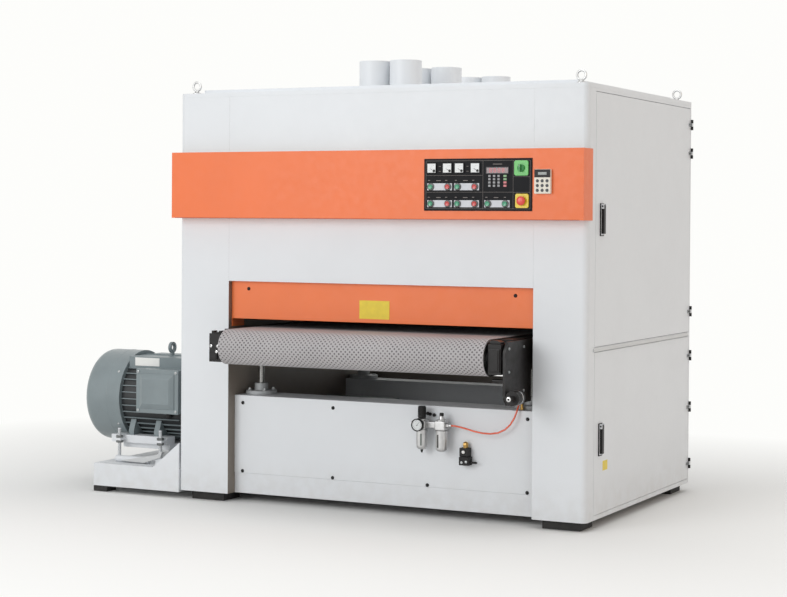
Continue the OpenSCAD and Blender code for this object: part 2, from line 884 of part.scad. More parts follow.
// Instruments: four ammeters, display and keypad, switch plates and the remote keypad
instrument_t = 6;
meter_w = 45;
meter_rise = 74;
meter_z = panel_z + meter_rise;
meter_shares = [-0.426, -0.2788, -0.1673, -0.0192];
keypad_in = 164;
keypad_rise = 22;
keypad_at = [panel_x + panel_w / 2 - keypad_in, panel_z + keypad_rise];
remote_w = 77;
remote_h = 107;
remote_t = 18;
remote_gap = 14;
remote_rise = 13;
remote_at = [panel_x + panel_w / 2 + remote_gap + remote_w / 2, panel_z + remote_rise];

module plate_on_panel(at, w, h, t) {
    block([at[0] - w / 2, panel_y - panel_t - t, at[1] - h / 2], [at[0] + w / 2, panel_y - panel_t, at[1] + h / 2]);
}

module panel_instruments() {
    color(grey_c) {
        for (s = meter_shares)
            plate_on_panel([panel_x + s * panel_w, meter_z], meter_w, meter_w, instrument_t);
        plate_on_panel([keypad_at[0], meter_z], meter_w * 2.4, meter_w * 0.65, instrument_t);
        plate_on_panel(keypad_at, meter_w * 2.4, meter_w * 1.15, instrument_t / 2);
        for (p = [stop_at, switch_at])
            difference() {
                plate_on_panel(p, stop_r * 3, stop_r * 3, instrument_t);
                rod_y(p[0], panel_y - panel_t - instrument_t - cut, panel_y, p[1], control_stem_r + fit);
            }
        block([remote_at[0] - remote_w / 2, -band_out - remote_t, remote_at[1] - remote_h / 2],
              [remote_at[0] + remote_w / 2, -band_out, remote_at[1] + remote_h / 2]);
    }
}

// Motor mount: two rails on a plate, with an upstand behind and threaded rods in front
mount_plate_t = 25;
mount_clear = 5;
mount_out = 50;
mount_x0 = motor_x0 - mount_out;
mount_x1 = mount_x0 + motor_l;
mount_y0 = 130;
mount_y1 = 610;
mount_plate_z = motor_z - motor_r - mount_clear;
mount_half = sqrt(pow(cowl_r, 2) - pow(motor_z - mount_z, 2)) + mount_clear;
rod_r = 8;
rod_y_at = 100;
rod_in = 70;
bar_r = 16;
bar_l = 196;
lug_w = 36;
nut_r = 15;
nut_h = 12;

module hex_nut(x, z) {
    translate([x, rod_y_at, z])
        cylinder(r = nut_r, h = nut_h, $fn = 6);
}

module motor_mount() {
    lug_z = mount_z - lug_w / 2;
    color(white_c) {
        block([mount_x0, mount_y0, mount_plate_z], [mount_x1, motor_y - mount_half, mount_z]);
        block([mount_x0, motor_y + mount_half, mount_plate_z], [mount_x1, mount_y1, mount_z]);
        block([motor_x0 + mount_clear, mount_y0 + mount_plate_t, mount_plate_z - mount_plate_t],
              [mount_x1, mount_y1, mount_plate_z]);
        block([motor_x0 + mount_clear, mount_y1 - mount_plate_t * 2, base_top],
              [mount_x1, mount_y1, mount_plate_z - mount_plate_t]);
        for (x = [mount_x0 + rod_in, mount_x1 - lug_w / 2])
            block([x - lug_w / 2, rod_y_at - lug_w / 2, lug_z - nut_h / 2], [x + lug_w / 2, mount_y0, lug_z + nut_h / 2]);
        rod_x(mount_x0 + rod_in - lug_w / 2, mount_x0 + rod_in - lug_w / 2 + bar_l, rod_y_at, base_top + bar_r, bar_r);
        block([mount_x1 - lug_w, rod_y_at - lug_w / 2, base_top], [mount_x1, rod_y_at + lug_w / 2, base_top + lug_w]);
        for (x = [mount_x0 + rod_in, mount_x1 - lug_w / 2]) {
            rod_z(x, rod_y_at, base_top + bar_r, mount_z + lug_w, rod_r);
            hex_nut(x, lug_z + nut_h / 2);
            hex_nut(x, lug_z - nut_h * 3 / 2);
        }
    }
}

// Motor housing: finned body with feet, end shields and the terminal box on its front
fin_n = 40;
fin_h = 8;
fin_t = 4;
body_wall = 24;
shield_t = 12;
foot_l = 30;
foot_in = 40;
foot_pitch = 150;
foot_half = 200;
foot_t = 20;
saddle_w = 290;
saddle_h = 54;
box_w = 240;
box_h = 210;
box_t = 42;
box_in = 131;
box_rise = 50;
box_z = motor_z + box_rise;
rotor_r = 110;

module motor_housing() {
    hole_r = motor_shaft_r + fit;
    eye_z = motor_z + motor_r + eye_shank_h;
    eye_x = motor_x0 + motor_l / 2;
    color(motor_c)
        difference() {
            union() {
                rod_x(motor_x0, motor_x1, motor_y, motor_z, motor_r - fin_h);
                for (i = [0 : fin_n - 1])
                    translate([motor_x0, motor_y, motor_z])
                        rotate([i * 360 / fin_n, 0, 0])
                            translate([0, -fin_t / 2, 0])
                                cube([motor_l, fin_t, motor_r]);
                block([motor_x0 + fin_t, motor_y - saddle_w / 2, motor_z + motor_r - fin_h - saddle_h],
                      [motor_x0 + motor_l + fin_t, motor_y + saddle_w / 2, motor_z + motor_r - fin_h / 2]);
                for (x = [motor_x0 + foot_in, motor_x0 + foot_in + foot_pitch])
                    along_x(x, foot_l)
                        polygon([
                            [motor_y - foot_half, mount_z], [motor_y + foot_half, mount_z],
                            [motor_y + foot_half, mount_z + foot_t], [motor_y + motor_r * 3 / 4, motor_z - motor_r / 4],
                            [motor_y - motor_r * 3 / 4, motor_z - motor_r / 4], [motor_y - foot_half, mount_z + foot_t]
                        ]);
                block([motor_x0 + box_in, motor_y - motor_r - box_t, box_z - box_h / 2],
                      [motor_x0 + box_in + box_w, motor_y - motor_r / 2, box_z + box_h / 2]);
                rod_z(eye_x, motor_y, motor_z + motor_r - 2 * fin_h, eye_z, eye_shank_r);
                rod_x(eye_x - eye_t / 2, eye_x + eye_t / 2, motor_y, eye_z + eye_bore_r, eye_r);
            }
            rod_x(motor_x0 + shield_t, motor_x1 - shield_t, motor_y, motor_z, motor_r - fin_h - body_wall);
            rod_x(motor_x0 - cut, motor_x1 + cut, motor_y, motor_z, hole_r);
            rod_x(eye_x - eye_t, eye_x + eye_t, motor_y, eye_z + eye_bore_r, eye_bore_r);
        }
}

// Fan cowl: a round cap with air slots in its closed end
vent_n = 12;
vent_w = 12;
cowl_round = 40;
cowl_lip = 45;

module fan_cowl() {
    color(motor_c)
        difference() {
            translate([motor_x0, motor_y, motor_z])
                rotate([0, -90, 0])
                    rotate_extrude()
                        union() {
                            difference() {
                                cowl_profile(0);
                                cowl_profile(sheet_t);
                            }
                            translate([cowl_r - cowl_lip, 0])
                                square([cowl_lip - sheet_t / 2, sheet_t]);
                        }
            for (i = [0 : vent_n - 1])
                translate([cowl_x0 - cut, motor_y, motor_z])
                    rotate([i * 360 / vent_n, 0, 0])
                        translate([0, -vent_w / 2, cowl_r / 4])
                            cube([sheet_t + 2 * cut, vent_w, cowl_r / 2]);
        }
}

module cowl_profile(inset) {
    r = cowl_r - inset;
    l = cowl_l - inset;
    bend = cowl_round - inset;
    translate([0, inset > 0 ? -cut : 0])
        square([r - bend, l + (inset > 0 ? cut : 0)]);
    translate([0, inset > 0 ? -cut : 0])
        square([r, l - bend + (inset > 0 ? cut : 0)]);
    translate([r - bend, l - bend])
        intersection() {
            circle(bend);
            square(bend);
        }
}

// Rotor of the main motor: shaft, core, cooling fan and belt pulley
pulley_w = 90;
pulley_x = left_x + column_left_w / 3;
groove_n = 4;
vbelt_t = 8;
fan_l = 50;
fan_r = 185;

module pulley(x0, width, y, z, r) {
    difference() {
        rod_x(x0, x0 + width, y, z, r);
        for (i = [0 : 1])
            rod_x(x0 + (i == 0 ? -cut : width - width / 6), x0 + (i == 0 ? width / 6 : width + cut), y, z, r * 0.45);
    }
    rod_x(x0 - cut, x0 + width + cut, y, z, r * 0.46);
}

module motor_rotor() {
    color(steel_c) {
        rod_x(cowl_x0 + cowl_l / 2, pulley_x + pulley_w, motor_y, motor_z, motor_shaft_r);
        rod_x(motor_x0 + 2 * body_wall, motor_x0 + motor_l - 2 * body_wall, motor_y, motor_z, rotor_r);
        rod_x(cowl_x0 + cowl_l / 2, cowl_x0 + cowl_l / 2 + sheet_t, motor_y, motor_z, fan_r);
        for (i = [0 : 7])
            translate([cowl_x0 + cowl_l / 2, motor_y, motor_z])
                rotate([i * 45, 0, 0])
                    translate([0, -sheet_t / 2, motor_shaft_r / 2])
                        cube([fan_l, sheet_t, fan_r - motor_shaft_r / 2 - sheet_t]);
        pulley(pulley_x, pulley_w, motor_y, motor_z, motor_pulley_r);
    }
}

// Belts of the cutterhead drive and of the two sanding drives, in the left column
belt_seat = 2 * seat;
contact_pulley_r = 55;
sanding_pulley_r = 78;
set_w = 40;
set_gap = 6;
set_xs = [pulley_x, pulley_x + set_w + set_gap];

module vbelts(rounds, x0, width, count) {
    step = width / count;
    for (i = [0 : count - 1])
        belt_loop(rounds, x0 + (i + 0.15) * step, step * 0.7, vbelt_t);
}

module drive_belts() {
    color(rubber_c) {
        vbelts([[motor_y, motor_z, motor_pulley_r + belt_seat], [cutter_y, cutter_z, cutter_pulley_r + belt_seat]],
               pulley_x, pulley_w, groove_n);
        vbelts([[sanding_motor_y, sanding_motor_z, sanding_pulley_r + belt_seat],
                [contact_front_y, contact_front_z, contact_pulley_r + belt_seat]], set_xs[0], set_w, 2);
        vbelts([[sanding_motor_y, sanding_motor_z, sanding_pulley_r + belt_seat],
                [contact_rear_y, contact_rear_z, contact_pulley_r + belt_seat]], set_xs[1], set_w, 2);
    }
}

// Motor of the two sanding heads, in the base between the columns
sanding_motor_y = 930;
sanding_motor_z = 300;
sanding_motor_r = 140;
sanding_motor_l = 400;
sanding_motor_in = 30;
sanding_shaft_r = 22;

module sanding_motor() {
    x0 = pass_x0 + sanding_motor_in;
    color(motor_c)
        difference() {
            union() {
                rod_x(x0, x0 + sanding_motor_l, sanding_motor_y, sanding_motor_z, sanding_motor_r);
                for (x = [x0 + sanding_motor_in, x0 + sanding_motor_l - 2 * sanding_motor_in])
                    block([x, sanding_motor_y - sanding_motor_r, sill_top],
                          [x + sanding_motor_in, sanding_motor_y + sanding_motor_r, sanding_motor_z]);
            }
            rod_x(x0 - cut, x0 + sanding_motor_l / 2, sanding_motor_y, sanding_motor_z, sanding_shaft_r + fit);
        }
}

module sanding_pulley() {
    color(steel_c) {
        rod_x(set_xs[0] - cut, pass_x0 + sanding_motor_in + sanding_motor_l / 2 - sheet_t,
              sanding_motor_y, sanding_motor_z, sanding_shaft_r);
        pulley(set_xs[0], 2 * set_w + set_gap, sanding_motor_y, sanding_motor_z, sanding_pulley_r);
    }
}

// Air unit on the lower panel: regulator with bowl and gauge, lubricator and hose fittings
air_y = 15;
air_pitch = 98;
lube_x = air_x + air_pitch;
lube_more = 2;
lube_r = bowl_r + lube_more;
air_body = 50;
air_body_h = 46;
bowl_l = 92;
port_len = 24;
port_bore_r = 6;
gauge_r = 29;
gauge_t = 16;
gauge_stem_r = 6;
drain_r = 5;
drain_h = 14;
knob_r = 19;
knob_h = 54;
knob_stem_r = 8;

module bowl(x, r, h) {
    translate([x, air_y, air_z - air_body_h / 2 - h])
        rotate_extrude()
            union() {
                translate([0, r / 2])
                    square([r, h - r / 2]);
                intersection() {
                    translate([0, r / 2])
                        scale([2, 1])
                            circle(r / 2);
                    square(r);
                }
            }
}

module air_unit() {
    bottom = air_z - air_body_h / 2;
    top = air_z + air_body_h / 2;
    color(steel_c)
        difference() {
            union() {
                for (x = [air_x, lube_x])
                    block([x - air_body / 2, air_y - air_body / 2, bottom], [x + air_body / 2, air_y + air_body / 2, top]);
                rod_x(air_x, lube_x, air_y, air_z, air_body / 3);
                rod_x(air_x - air_body / 2 - port_len, air_x, air_y, air_z, port_bore_r * 2);
                rod_x(lube_x, lube_x + air_body / 2 + port_len, air_y, air_z, port_bore_r * 2);
                bowl(air_x, bowl_r, bowl_l);
                bowl(lube_x, lube_r, bowl_l + drain_r);
                rod_z(air_x, air_y, bottom - bowl_l - drain_h, bottom - bowl_l + drain_r, drain_r);
                rod_z(lube_x, air_y, top, top + drain_h, drain_r * 2);
                rod_z(air_x, air_y, top - cut, top + drain_r, knob_r - drain_r);
                rod_y(air_x, air_y - air_body / 2 - drain_h, air_y, air_z, gauge_stem_r);
                rod_y(air_x, air_y - air_body / 2 - drain_h - gauge_t, air_y - air_body / 2 - drain_h, air_z, gauge_r);
                for (x = [air_x, lube_x])
                    block([x - drain_h, air_y, air_z - drain_h], [x + drain_h, low_back - sheet_t, air_z + drain_h]);
            }
            rod_x(air_x - air_body / 2 - port_len - cut, air_x - air_body / 2, air_y, air_z, port_bore_r);
            rod_z(air_x, air_y, top - drain_h, top + drain_r + cut, knob_stem_r + fit);
        }
    color(brass_c)
        hose_end_fitting();
}

module regulator_knob() {
    top = air_z + air_body_h / 2;
    color(black_c) {
        rod_z(air_x, air_y, top - drain_h + seat, top + drain_r + 2 * seat, knob_stem_r);
        rod_z(air_x, air_y, top + drain_r + seat, top + drain_r + seat + knob_h, knob_r);
    }
}

// Air hose: hand-chosen points from the lubricator's outlet to the elbow
hose_points = [
    [396, 15, 428], [412, 15, 428], [436, 15, 425], [470, 15, 418], [508, 16, 409], [546, 18, 403],
    [584, 20, 402], [620, 23, 408], [652, 27, 424], [676, 31, 448], [692, 35, 476], [701, 40, 502],
    [704, 48, 522], [705, 59, 535], [705, 70, 540], [705, 80, 540]
];

// The elbow on the shelf that the air hose ends in
hose_end = hose_points[len(hose_points) - 1];
elbow_reach = 12;
elbow_at = [hose_end[0], hose_end[1] + elbow_reach];
elbow_z = hose_end[2];
elbow_r = 8;

module hose_end_fitting() {
    rod_z(elbow_at[0], elbow_at[1], low_top, elbow_z + elbow_r, elbow_r);
    rod_y(elbow_at[0], hose_end[1], elbow_at[1], elbow_z, elbow_r * 0.75);
}

// Points of a tube's rings: each ring lies square to the route where it passes a point
function unit(v) = v / norm(v);
function route_dir(p, i) = unit(p[min(i + 1, len(p) - 1)] - p[max(i - 1, 0)]);
function side_dir(d) = unit(cross(d, abs(d[1]) > 0.9 ? [1, 0, 0] : [0, 1, 0]));
function ring_points(p, i, r, sides) =
    let (d = i == 0 ? [1, 0, 0] : i == len(p) - 1 ? [0, 1, 0] : route_dir(p, i),
         u = side_dir(d), v = cross(d, u))
    [for (k = [0 : sides - 1]) p[i] + r * (cos(k * 360 / sides) * u + sin(k * 360 / sides) * v)];

module tube(p, r, sides) {
    rings = [for (i = [0 : len(p) - 1]) each ring_points(p, i, r, sides)];
    n = len(p);
    walls = [
        for (i = [0 : n - 2], k = [0 : sides - 1])
            each [
                [i * sides + k, i * sides + (k + 1) % sides, (i + 1) * sides + k],
                [i * sides + (k + 1) % sides, (i + 1) * sides + (k + 1) % sides, (i + 1) * sides + k]
            ]
    ];
    caps = concat(
        [for (k = [1 : sides - 2]) [0, k + 1, k]],
        [for (k = [1 : sides - 2]) [(n - 1) * sides, (n - 1) * sides + k, (n - 1) * sides + k + 1]]
    );
    polyhedron(points = rings, faces = [for (f = concat(walls, caps)) [f[0], f[2], f[1]]]);
}

module air_hose() {
    color(orange_c)
        tube(hose_points, hose_d / 2, 10);
}

// Hand valve on the lower panel
valve_in = 206;
valve_drop = 137;
valve_at = [air_x + valve_in, air_z - valve_drop];
valve_w = 50;
valve_h = 78;
valve_brass_r = 13;
valve_brass_h = 28;
valve_stub_l = 34;

module hand_valve() {
    back = low_back - sheet_t;
    color(black_c) {
        block([valve_at[0] - valve_w / 2, back - valve_w * 0.8, valve_at[1] - valve_h / 2],
              [valve_at[0] + valve_w / 2, back, valve_at[1]]);
        block([valve_at[0] - valve_w / 2, back - valve_w * 0.7, valve_at[1]],
              [valve_at[0] + valve_w / 2 - drain_r, back, valve_at[1] + valve_h / 2]);
        rod_z(valve_at[0], back - valve_w / 2 + drain_r, valve_at[1] + valve_h / 2,
              valve_at[1] + valve_h / 2 + valve_brass_h, valve_brass_r);
        rod_x(valve_at[0], valve_at[0] + valve_w / 2 + valve_stub_l, back - valve_w / 2,
              valve_at[1] - valve_h / 2 + drain_h, drain_r);
    }
}

// Lifting jacks: flanged housings on the shelf and gearboxes under the beams
jack_flange_r = 75;
jack_flange_t = 18;
jack_boss_r = 32;
gearbox_w = 110;
gearbox_h = 90;

module lift_jacks() {
    color(cast_c)
        for (x = screw_xs, y = screw_ys) {
            base_z = y == screw_front_y ? low_top : low_top - sheet_t;
            difference() {
                union() {
                    rod_z(x, y, base_z, base_z + jack_flange_t, jack_flange_r);
                    rod_z(x, y, base_z, jack_top, jack_boss_r);
                    for (a = [45 : 90 : 315])
                        rod_z(x + jack_flange_r * 0.78 * cos(a), y + jack_flange_r * 0.78 * sin(a),
                              base_z, base_z + jack_flange_t + drain_r, drain_r + sheet_t);
                }
                rod_z(x, y, base_z - cut, jack_top + cut, screw_r + seat);
            }
            difference() {
                block([x - gearbox_w / 2, y - gearbox_w / 2, jack_beam_z - gearbox_h],
                      [x + gearbox_w / 2, y + gearbox_w / 2, jack_beam_z]);
                rod_z(x, y, jack_beam_z - gearbox_h - cut, jack_beam_z + cut, screw_r + seat);
            }
        }
}

// Head frames: beams, end plates, bearing blocks and the sanding pad
face_over = 20;
face_w = belt_w + face_over;
face_x0 = mid_x - face_w / 2;
face_x1 = mid_x + face_w / 2;
end_plate_t = 20;
end_plate_gap = 10;
end_plate_w = 84;
beam_h = 100;
beam_z = (contact_front_z + tension_z) / 2;
bearing_w = 48;
bearing_d = 110;
pad_corner = 15;
pad_h = 50;
web_t = 12;
hold_shaft_r = 10;
tension_shaft_r = 15;
arm_w = 40;
end_xs = [face_x0 - end_plate_gap - end_plate_t, face_x1 + end_plate_gap];

module head_frame(contact_y, contact_z, top_y) {
    difference() {
        union() {
            block([pass_x0, top_y - beam_h / 2, beam_z - beam_h / 2], [pass_x1, top_y + beam_h / 2, beam_z + beam_h / 2]);
            for (x = end_xs)
                along_x(x, end_plate_t) {
                    belt_outline([[contact_y, contact_z, end_plate_w / 2], [top_y, tension_z, end_plate_w / 2]], 0);
                }
        }
        for (x = end_xs) {
            rod_x(x - cut, x + end_plate_t + cut, contact_y, contact_z, head_shaft_r + fit);
            rod_x(x - cut, x + end_plate_t + cut, top_y, tension_z, tension_shaft_r + fit);
        }
    }
}

module sanding_pad() {
    rear = pad_y - pad_corner;
    front = rear - 3 * pad_corner;
    along_x(belt_x0, belt_w) {
        translate([rear, head_rise + pad_corner])
            circle(pad_corner);
        translate([front, head_rise])
            square([rear - front, pad_h]);
    }
    for (i = [0 : 3])
        along_x(belt_x0 + web_t + i * (belt_w - 3 * web_t) / 3, web_t)
            polygon([
                [front + pad_corner, head_rise + pad_h / 2], [rear, head_rise + pad_h / 2],
                [tension_rear_y + beam_h / 2, beam_z], [tension_rear_y, beam_z]
            ]);
}

module bearing_block(x0, x1, y, z, half, r) {
    difference() {
        block([x0, y - half, z - half * 0.9], [x1, y + half, z + half]);
        rod_x(x0 - cut, x1 + cut, y, z, r + fit);
    }
}

module head_frames() {
    color(cast_c) {
        head_frame(contact_front_y, contact_front_z, contact_front_y);
        head_frame(contact_rear_y, contact_rear_z, tension_rear_y);
        sanding_pad();
        for (x = [pass_x0, pass_x1 - bearing_w])
            bearing_block(x, x + bearing_w, cutter_y, cutter_z, bearing_d / 2, head_shaft_r);
        for (x = [pass_x0, pass_x1 - bearing_w], y = [hold_front_y, hold_mid_y])
            bearing_block(x, x + bearing_w, y, hold_z, arm_w / 2, hold_shaft_r);
        for (y = slots)
            block([pass_x1, y[0], beam_z - beam_h / 2], [wall_x1, y[1], beam_z + beam_h / 2]);
    }
}

// Sanding belts round their rollers
module sanding_belts() {
    color([0.42, 0.27, 0.20]) {
        belt_loop([[contact_front_y, contact_front_z, contact_front_r + seat],
                   [contact_front_y, tension_z, tension_r + seat]], belt_x0, belt_w, abrasive_t);
        belt_loop([[contact_rear_y, contact_rear_z, contact_rear_r + seat],
                   [pad_y - pad_corner, head_rise + pad_corner, pad_corner + seat],
                   [tension_rear_y, tension_z, tension_r + seat]], belt_x0, belt_w, abrasive_t);
    }
}

// Electrics plate behind the lower door, with its contactors and trunking
electric_t = 6;
electric_front_in = 38;
electric_rear_in = 55;
electric_rise = 30;
electric_drop = 58;
electric_y = [door_front + electric_front_in, cab_d - electric_rear_in];
electric_z = [foot_h + beam_w + electric_rise, door_low_top - electric_drop];
device_d = 70;
device_w = 90;
device_h = 110;
device_n = floor((electric_y[1] - electric_y[0] - device_w) / (device_w * 1.5));

module electrics_plate() {
    color(grey_c) {
        block([wall_x1, electric_y[0], electric_z[0]], [wall_x1 + electric_t, electric_y[1], electric_z[1]]);
        for (i = [0 : device_n - 1], z = [electric_z[0] + device_h / 2, electric_z[0] + 2 * device_h + device_w])
            block([wall_x1 + electric_t, electric_y[0] + device_w / 2 + i * device_w * 1.5, z],
                  [wall_x1 + electric_t + device_d, electric_y[0] + device_w * 3 / 2 + i * device_w * 1.5, z + device_h]);
        for (z = [electric_z[0] + device_h * 2, electric_z[1] - device_h / 3])
            block([wall_x1 + electric_t, electric_y[0] + sheet_t, z],
                  [wall_x1 + electric_t + device_d / 2, electric_y[1] - sheet_t, z + device_h / 4]);
    }
}

// Feed table: slider bed inside the belt, cross tubes and side rails
bed_in = 8;
tube_w = 80;
tube_ys = [screw_front_y, (screw_front_y + screw_rear_y) / 2, screw_rear_y];

module feed_table() {
    color(black_c) {
        difference() {
            block([belt_x0 + bed_in, rail_front_y, rail_bottom], [belt_x1 - bed_in, rail_rear_y, rail_top - seat]);
            block([belt_x0 + bed_in + plate_t, rail_front_y + plate_t, rail_bottom - cut],
                  [belt_x1 - bed_in - plate_t, rail_rear_y - plate_t, rail_top - seat - 2 * sheet_t]);
        }
        for (y = tube_ys)
            difference() {
                block([rail_left_x, y - tube_w / 2, rail_bottom + bed_in],
                      [rail_right_x + rail_w, y + tube_w / 2, rail_top - bed_in]);
                block([belt_x0 + 2 * bed_in, y - tube_w / 2 + bed_in, rail_bottom + 2 * bed_in],
                      [belt_x1 - 2 * bed_in, y + tube_w / 2 - bed_in, rail_top - 2 * bed_in]);
            }
        for (x = [rail_left_x, rail_right_x])
            block([x, rail_front_y, rail_bottom], [x + rail_w, rail_rear_y, rail_top]);
    }
}

module feed_belt() {
    color(grey_c)
        belt_loop([[roller_front_y, roller_z, roller_r + seat], [roller_rear_y, roller_z, roller_r + seat]],
                  belt_x0, belt_w, belt_t);
}

module feed_roller(y) {
    color(steel_c) {
        hollow_drum(belt_x0, belt_x1, y, roller_z, roller_r);
        rod_x(rail_left_x - sheet_t, rail_right_x + rail_w + sheet_t, y, roller_z, roller_shaft_r);
    }
}

// A roller's tube with its two end discs
drum_wall = 10;
drum_end = 20;

module hollow_drum(x0, x1, y, z, r) {
    difference() {
        rod_x(x0, x1, y, z, r);
        rod_x(x0 + drum_end, x1 - drum_end, y, z, r - drum_wall);
    }
}

// Brackets that carry the feed rollers, and the belt tracking plate at the front right
bracket_d = 45;
bracket_drop = 69;
bracket_rise = 62;
bracket_low = roller_z - bracket_drop;
bracket_top = roller_z + bracket_rise;
track_t = 12;
track_drop = 139;
track_low = rail_bottom - track_drop;
track_back = 50;
cyl_r = 32;
cyl_l = 70;
cyl_rise = 35;
cyl_z = track_low + cyl_rise;
cyl_front = 40;
cyl_y = roller_front_y - cyl_front;
cyl_nut_r = 13;
cyl_nut_l = 40;

module roller_bracket(x0, y, toward) {
    y0 = toward > 0 ? y - bracket_d : rail_rear_y;
    y1 = toward > 0 ? rail_front_y : y + bracket_d;
    difference() {
        block([x0, y0, bracket_low], [x0 + rail_w, y1, bracket_top]);
        rod_x(x0 - cut, x0 + rail_w + cut, y, roller_z, roller_shaft_r + fit);
    }
}

module tracking_plate() {
    x0 = rail_right_x + rail_w + 2 * sheet_t;
    y0 = roller_front_y - bracket_d + sheet_t;
    along_x(x0, track_t)
        polygon([
            [y0, track_low + cyl_r], [y0 + cyl_r, track_low], [track_back, track_low],
            [track_back, rail_bottom], [shelf_d + track_back, rail_bottom], [shelf_d + track_back, rail_top - sheet_t],
            [y0 + cyl_r, rail_top - sheet_t], [y0, bracket_top - cyl_r]
        ]);
    for (y = [roller_front_y + roller_shaft_r * 2, shelf_d])
        rod_x(rail_right_x + rail_w, x0, y, roller_z, cyl_nut_r);
    rod_y(x0 + track_t + cyl_r, cyl_y, cyl_y + cyl_l, cyl_z, cyl_r);
    rod_y(x0 + track_t + cyl_r, cyl_y - cyl_nut_l, cyl_y, cyl_z, cyl_nut_r);
    block([x0 + track_t, cyl_y + cyl_l / 3, cyl_z - cyl_nut_r],
          [x0 + track_t + cyl_r, cyl_y + cyl_l * 2 / 3, cyl_z + cyl_nut_r]);
}

module roller_brackets() {
    color(black_c) {
        for (x = [rail_left_x, rail_right_x]) {
            roller_bracket(x, roller_front_y, 1);
            roller_bracket(x, roller_rear_y, -1);
        }
        tracking_plate();
    }
}

// Lifting screws under the table's rails
cap_r = 27;
cap_t = 3;

module lift_screws() {
    color(steel_c)
        for (x = screw_xs, y = screw_ys) {
            rod_z(x, y, foot_h + lift_down + 2 * plate_t, rail_bottom, screw_r);
            rod_z(x, y, rail_bottom - cap_t, rail_bottom, cap_r);
        }
}

// Cutterhead: drum with rows of inserts, shaft and pulley
insert_rows = 6;
insert_w = 15;
insert_t = 5;

module cutterhead() {
    drum_r = cutter_r - insert_t;
    color(steel_c) {
        rod_x(belt_x0, belt_x1, cutter_y, cutter_z, drum_r);
        rod_x(pulley_x - cut, pass_x1 - sheet_t, cutter_y, cutter_z, head_shaft_r);
        pulley(pulley_x, pulley_w, cutter_y, cutter_z, cutter_pulley_r);
        for (row = [0 : insert_rows - 1])
            translate([belt_x0, cutter_y, cutter_z])
                rotate([row * 360 / insert_rows, 0, 0])
                    translate([insert_w, -insert_t / 2, drum_r / 2])
                        cube([belt_w - 2 * insert_w, insert_t, drum_r / 2 + insert_t - seat]);
    }
}

// Rollers of the sanding heads
module contact_roller(y, z, r, set_x) {
    rod_x(face_x0, face_x1, y, z, r);
    rod_x(set_x - cut, end_xs[1] + end_plate_t + sheet_t, y, z, head_shaft_r);
    pulley(set_x, set_w, y, z, contact_pulley_r);
}

module tension_roller(y) {
    hollow_drum(face_x0, face_x1, y, tension_z, tension_r);
    rod_x(end_xs[0] - sheet_t, end_xs[1] + end_plate_t + sheet_t, y, tension_z, tension_shaft_r);
}

module contact_roller_front() {
    color(rubber_c)
        contact_roller(contact_front_y, contact_front_z, contact_front_r, set_xs[0]);
}

module contact_roller_rear() {
    color(rubber_c)
        contact_roller(contact_rear_y, contact_rear_z, contact_rear_r, set_xs[1]);
}

module tension_roller_front() {
    color(steel_c)
        tension_roller(contact_front_y);
}

module tension_roller_rear() {
    color(steel_c)
        tension_roller(tension_rear_y);
}

module hold_down(y) {
    color(rubber_c) {
        rod_x(belt_x0, belt_x1, y, hold_z, hold_r);
        rod_x(pass_x0 + sheet_t, pass_x1 - sheet_t, y, hold_z, hold_shaft_r);
    }
}

base_frame();
left_column();
right_column();
upper_front_panel();
roof_panel();
rear_panels();
front_band();
entry_cover();
lower_front_panel();
panel_screws();
dust_ports();
lifting_eyes();
floor_pads();
door_hinges();
control_panel();
panel_instruments();
motor_mount();
motor_housing();
fan_cowl();
drive_belts();
sanding_motor();
air_unit();
hand_valve();
air_hose();
lift_jacks();
head_frames();
sanding_belts();
electrics_plate();
feed_table();
feed_belt();
roller_brackets();
lift_screws();
feed_roller(roller_front_y);  // front_roller
feed_roller(roller_rear_y);  // rear_roller
cutterhead();
motor_rotor();
sanding_pulley();
contact_roller_front();
tension_roller_front();
contact_roller_rear();
tension_roller_rear();
hold_down(hold_front_y);  // hold_down_front
hold_down(hold_mid_y);  // hold_down_middle
upper_door();
lower_door();
handle(handle_up_z);  // upper_handle
handle(handle_low_z);  // lower_handle
push_button(start_at[0], [0.15, 0.6, 0.3]);  // start_button_1
push_button(start_at[1], [0.15, 0.6, 0.3]);  // start_button_2
push_button(start_at[2], [0.15, 0.6, 0.3]);  // start_button_3
push_button(start_at[3], [0.15, 0.6, 0.3]);  // start_button_4
push_button(start_at[4], [0.15, 0.6, 0.3]);  // start_button_5
push_button(start_at[5], [0.15, 0.6, 0.3]);  // start_button_6
push_button(stop_buttons_at[0], [0.8, 0.15, 0.12]);  // stop_button_1
push_button(stop_buttons_at[1], [0.8, 0.15, 0.12]);  // stop_button_2
push_button(stop_buttons_at[2], [0.8, 0.15, 0.12]);  // stop_button_3
push_button(stop_buttons_at[3], [0.8, 0.15, 0.12]);  // stop_button_4
emergency_stop();
main_switch();
regulator_knob();
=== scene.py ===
"""Dresses a wide-belt planer sander for rendering: finishes, details and studio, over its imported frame."""

import json
import logging
import math
from dataclasses import dataclass
from enum import Enum
from typing import Iterable, Sequence

import bmesh
import bpy
from mathutils import Matrix, Vector

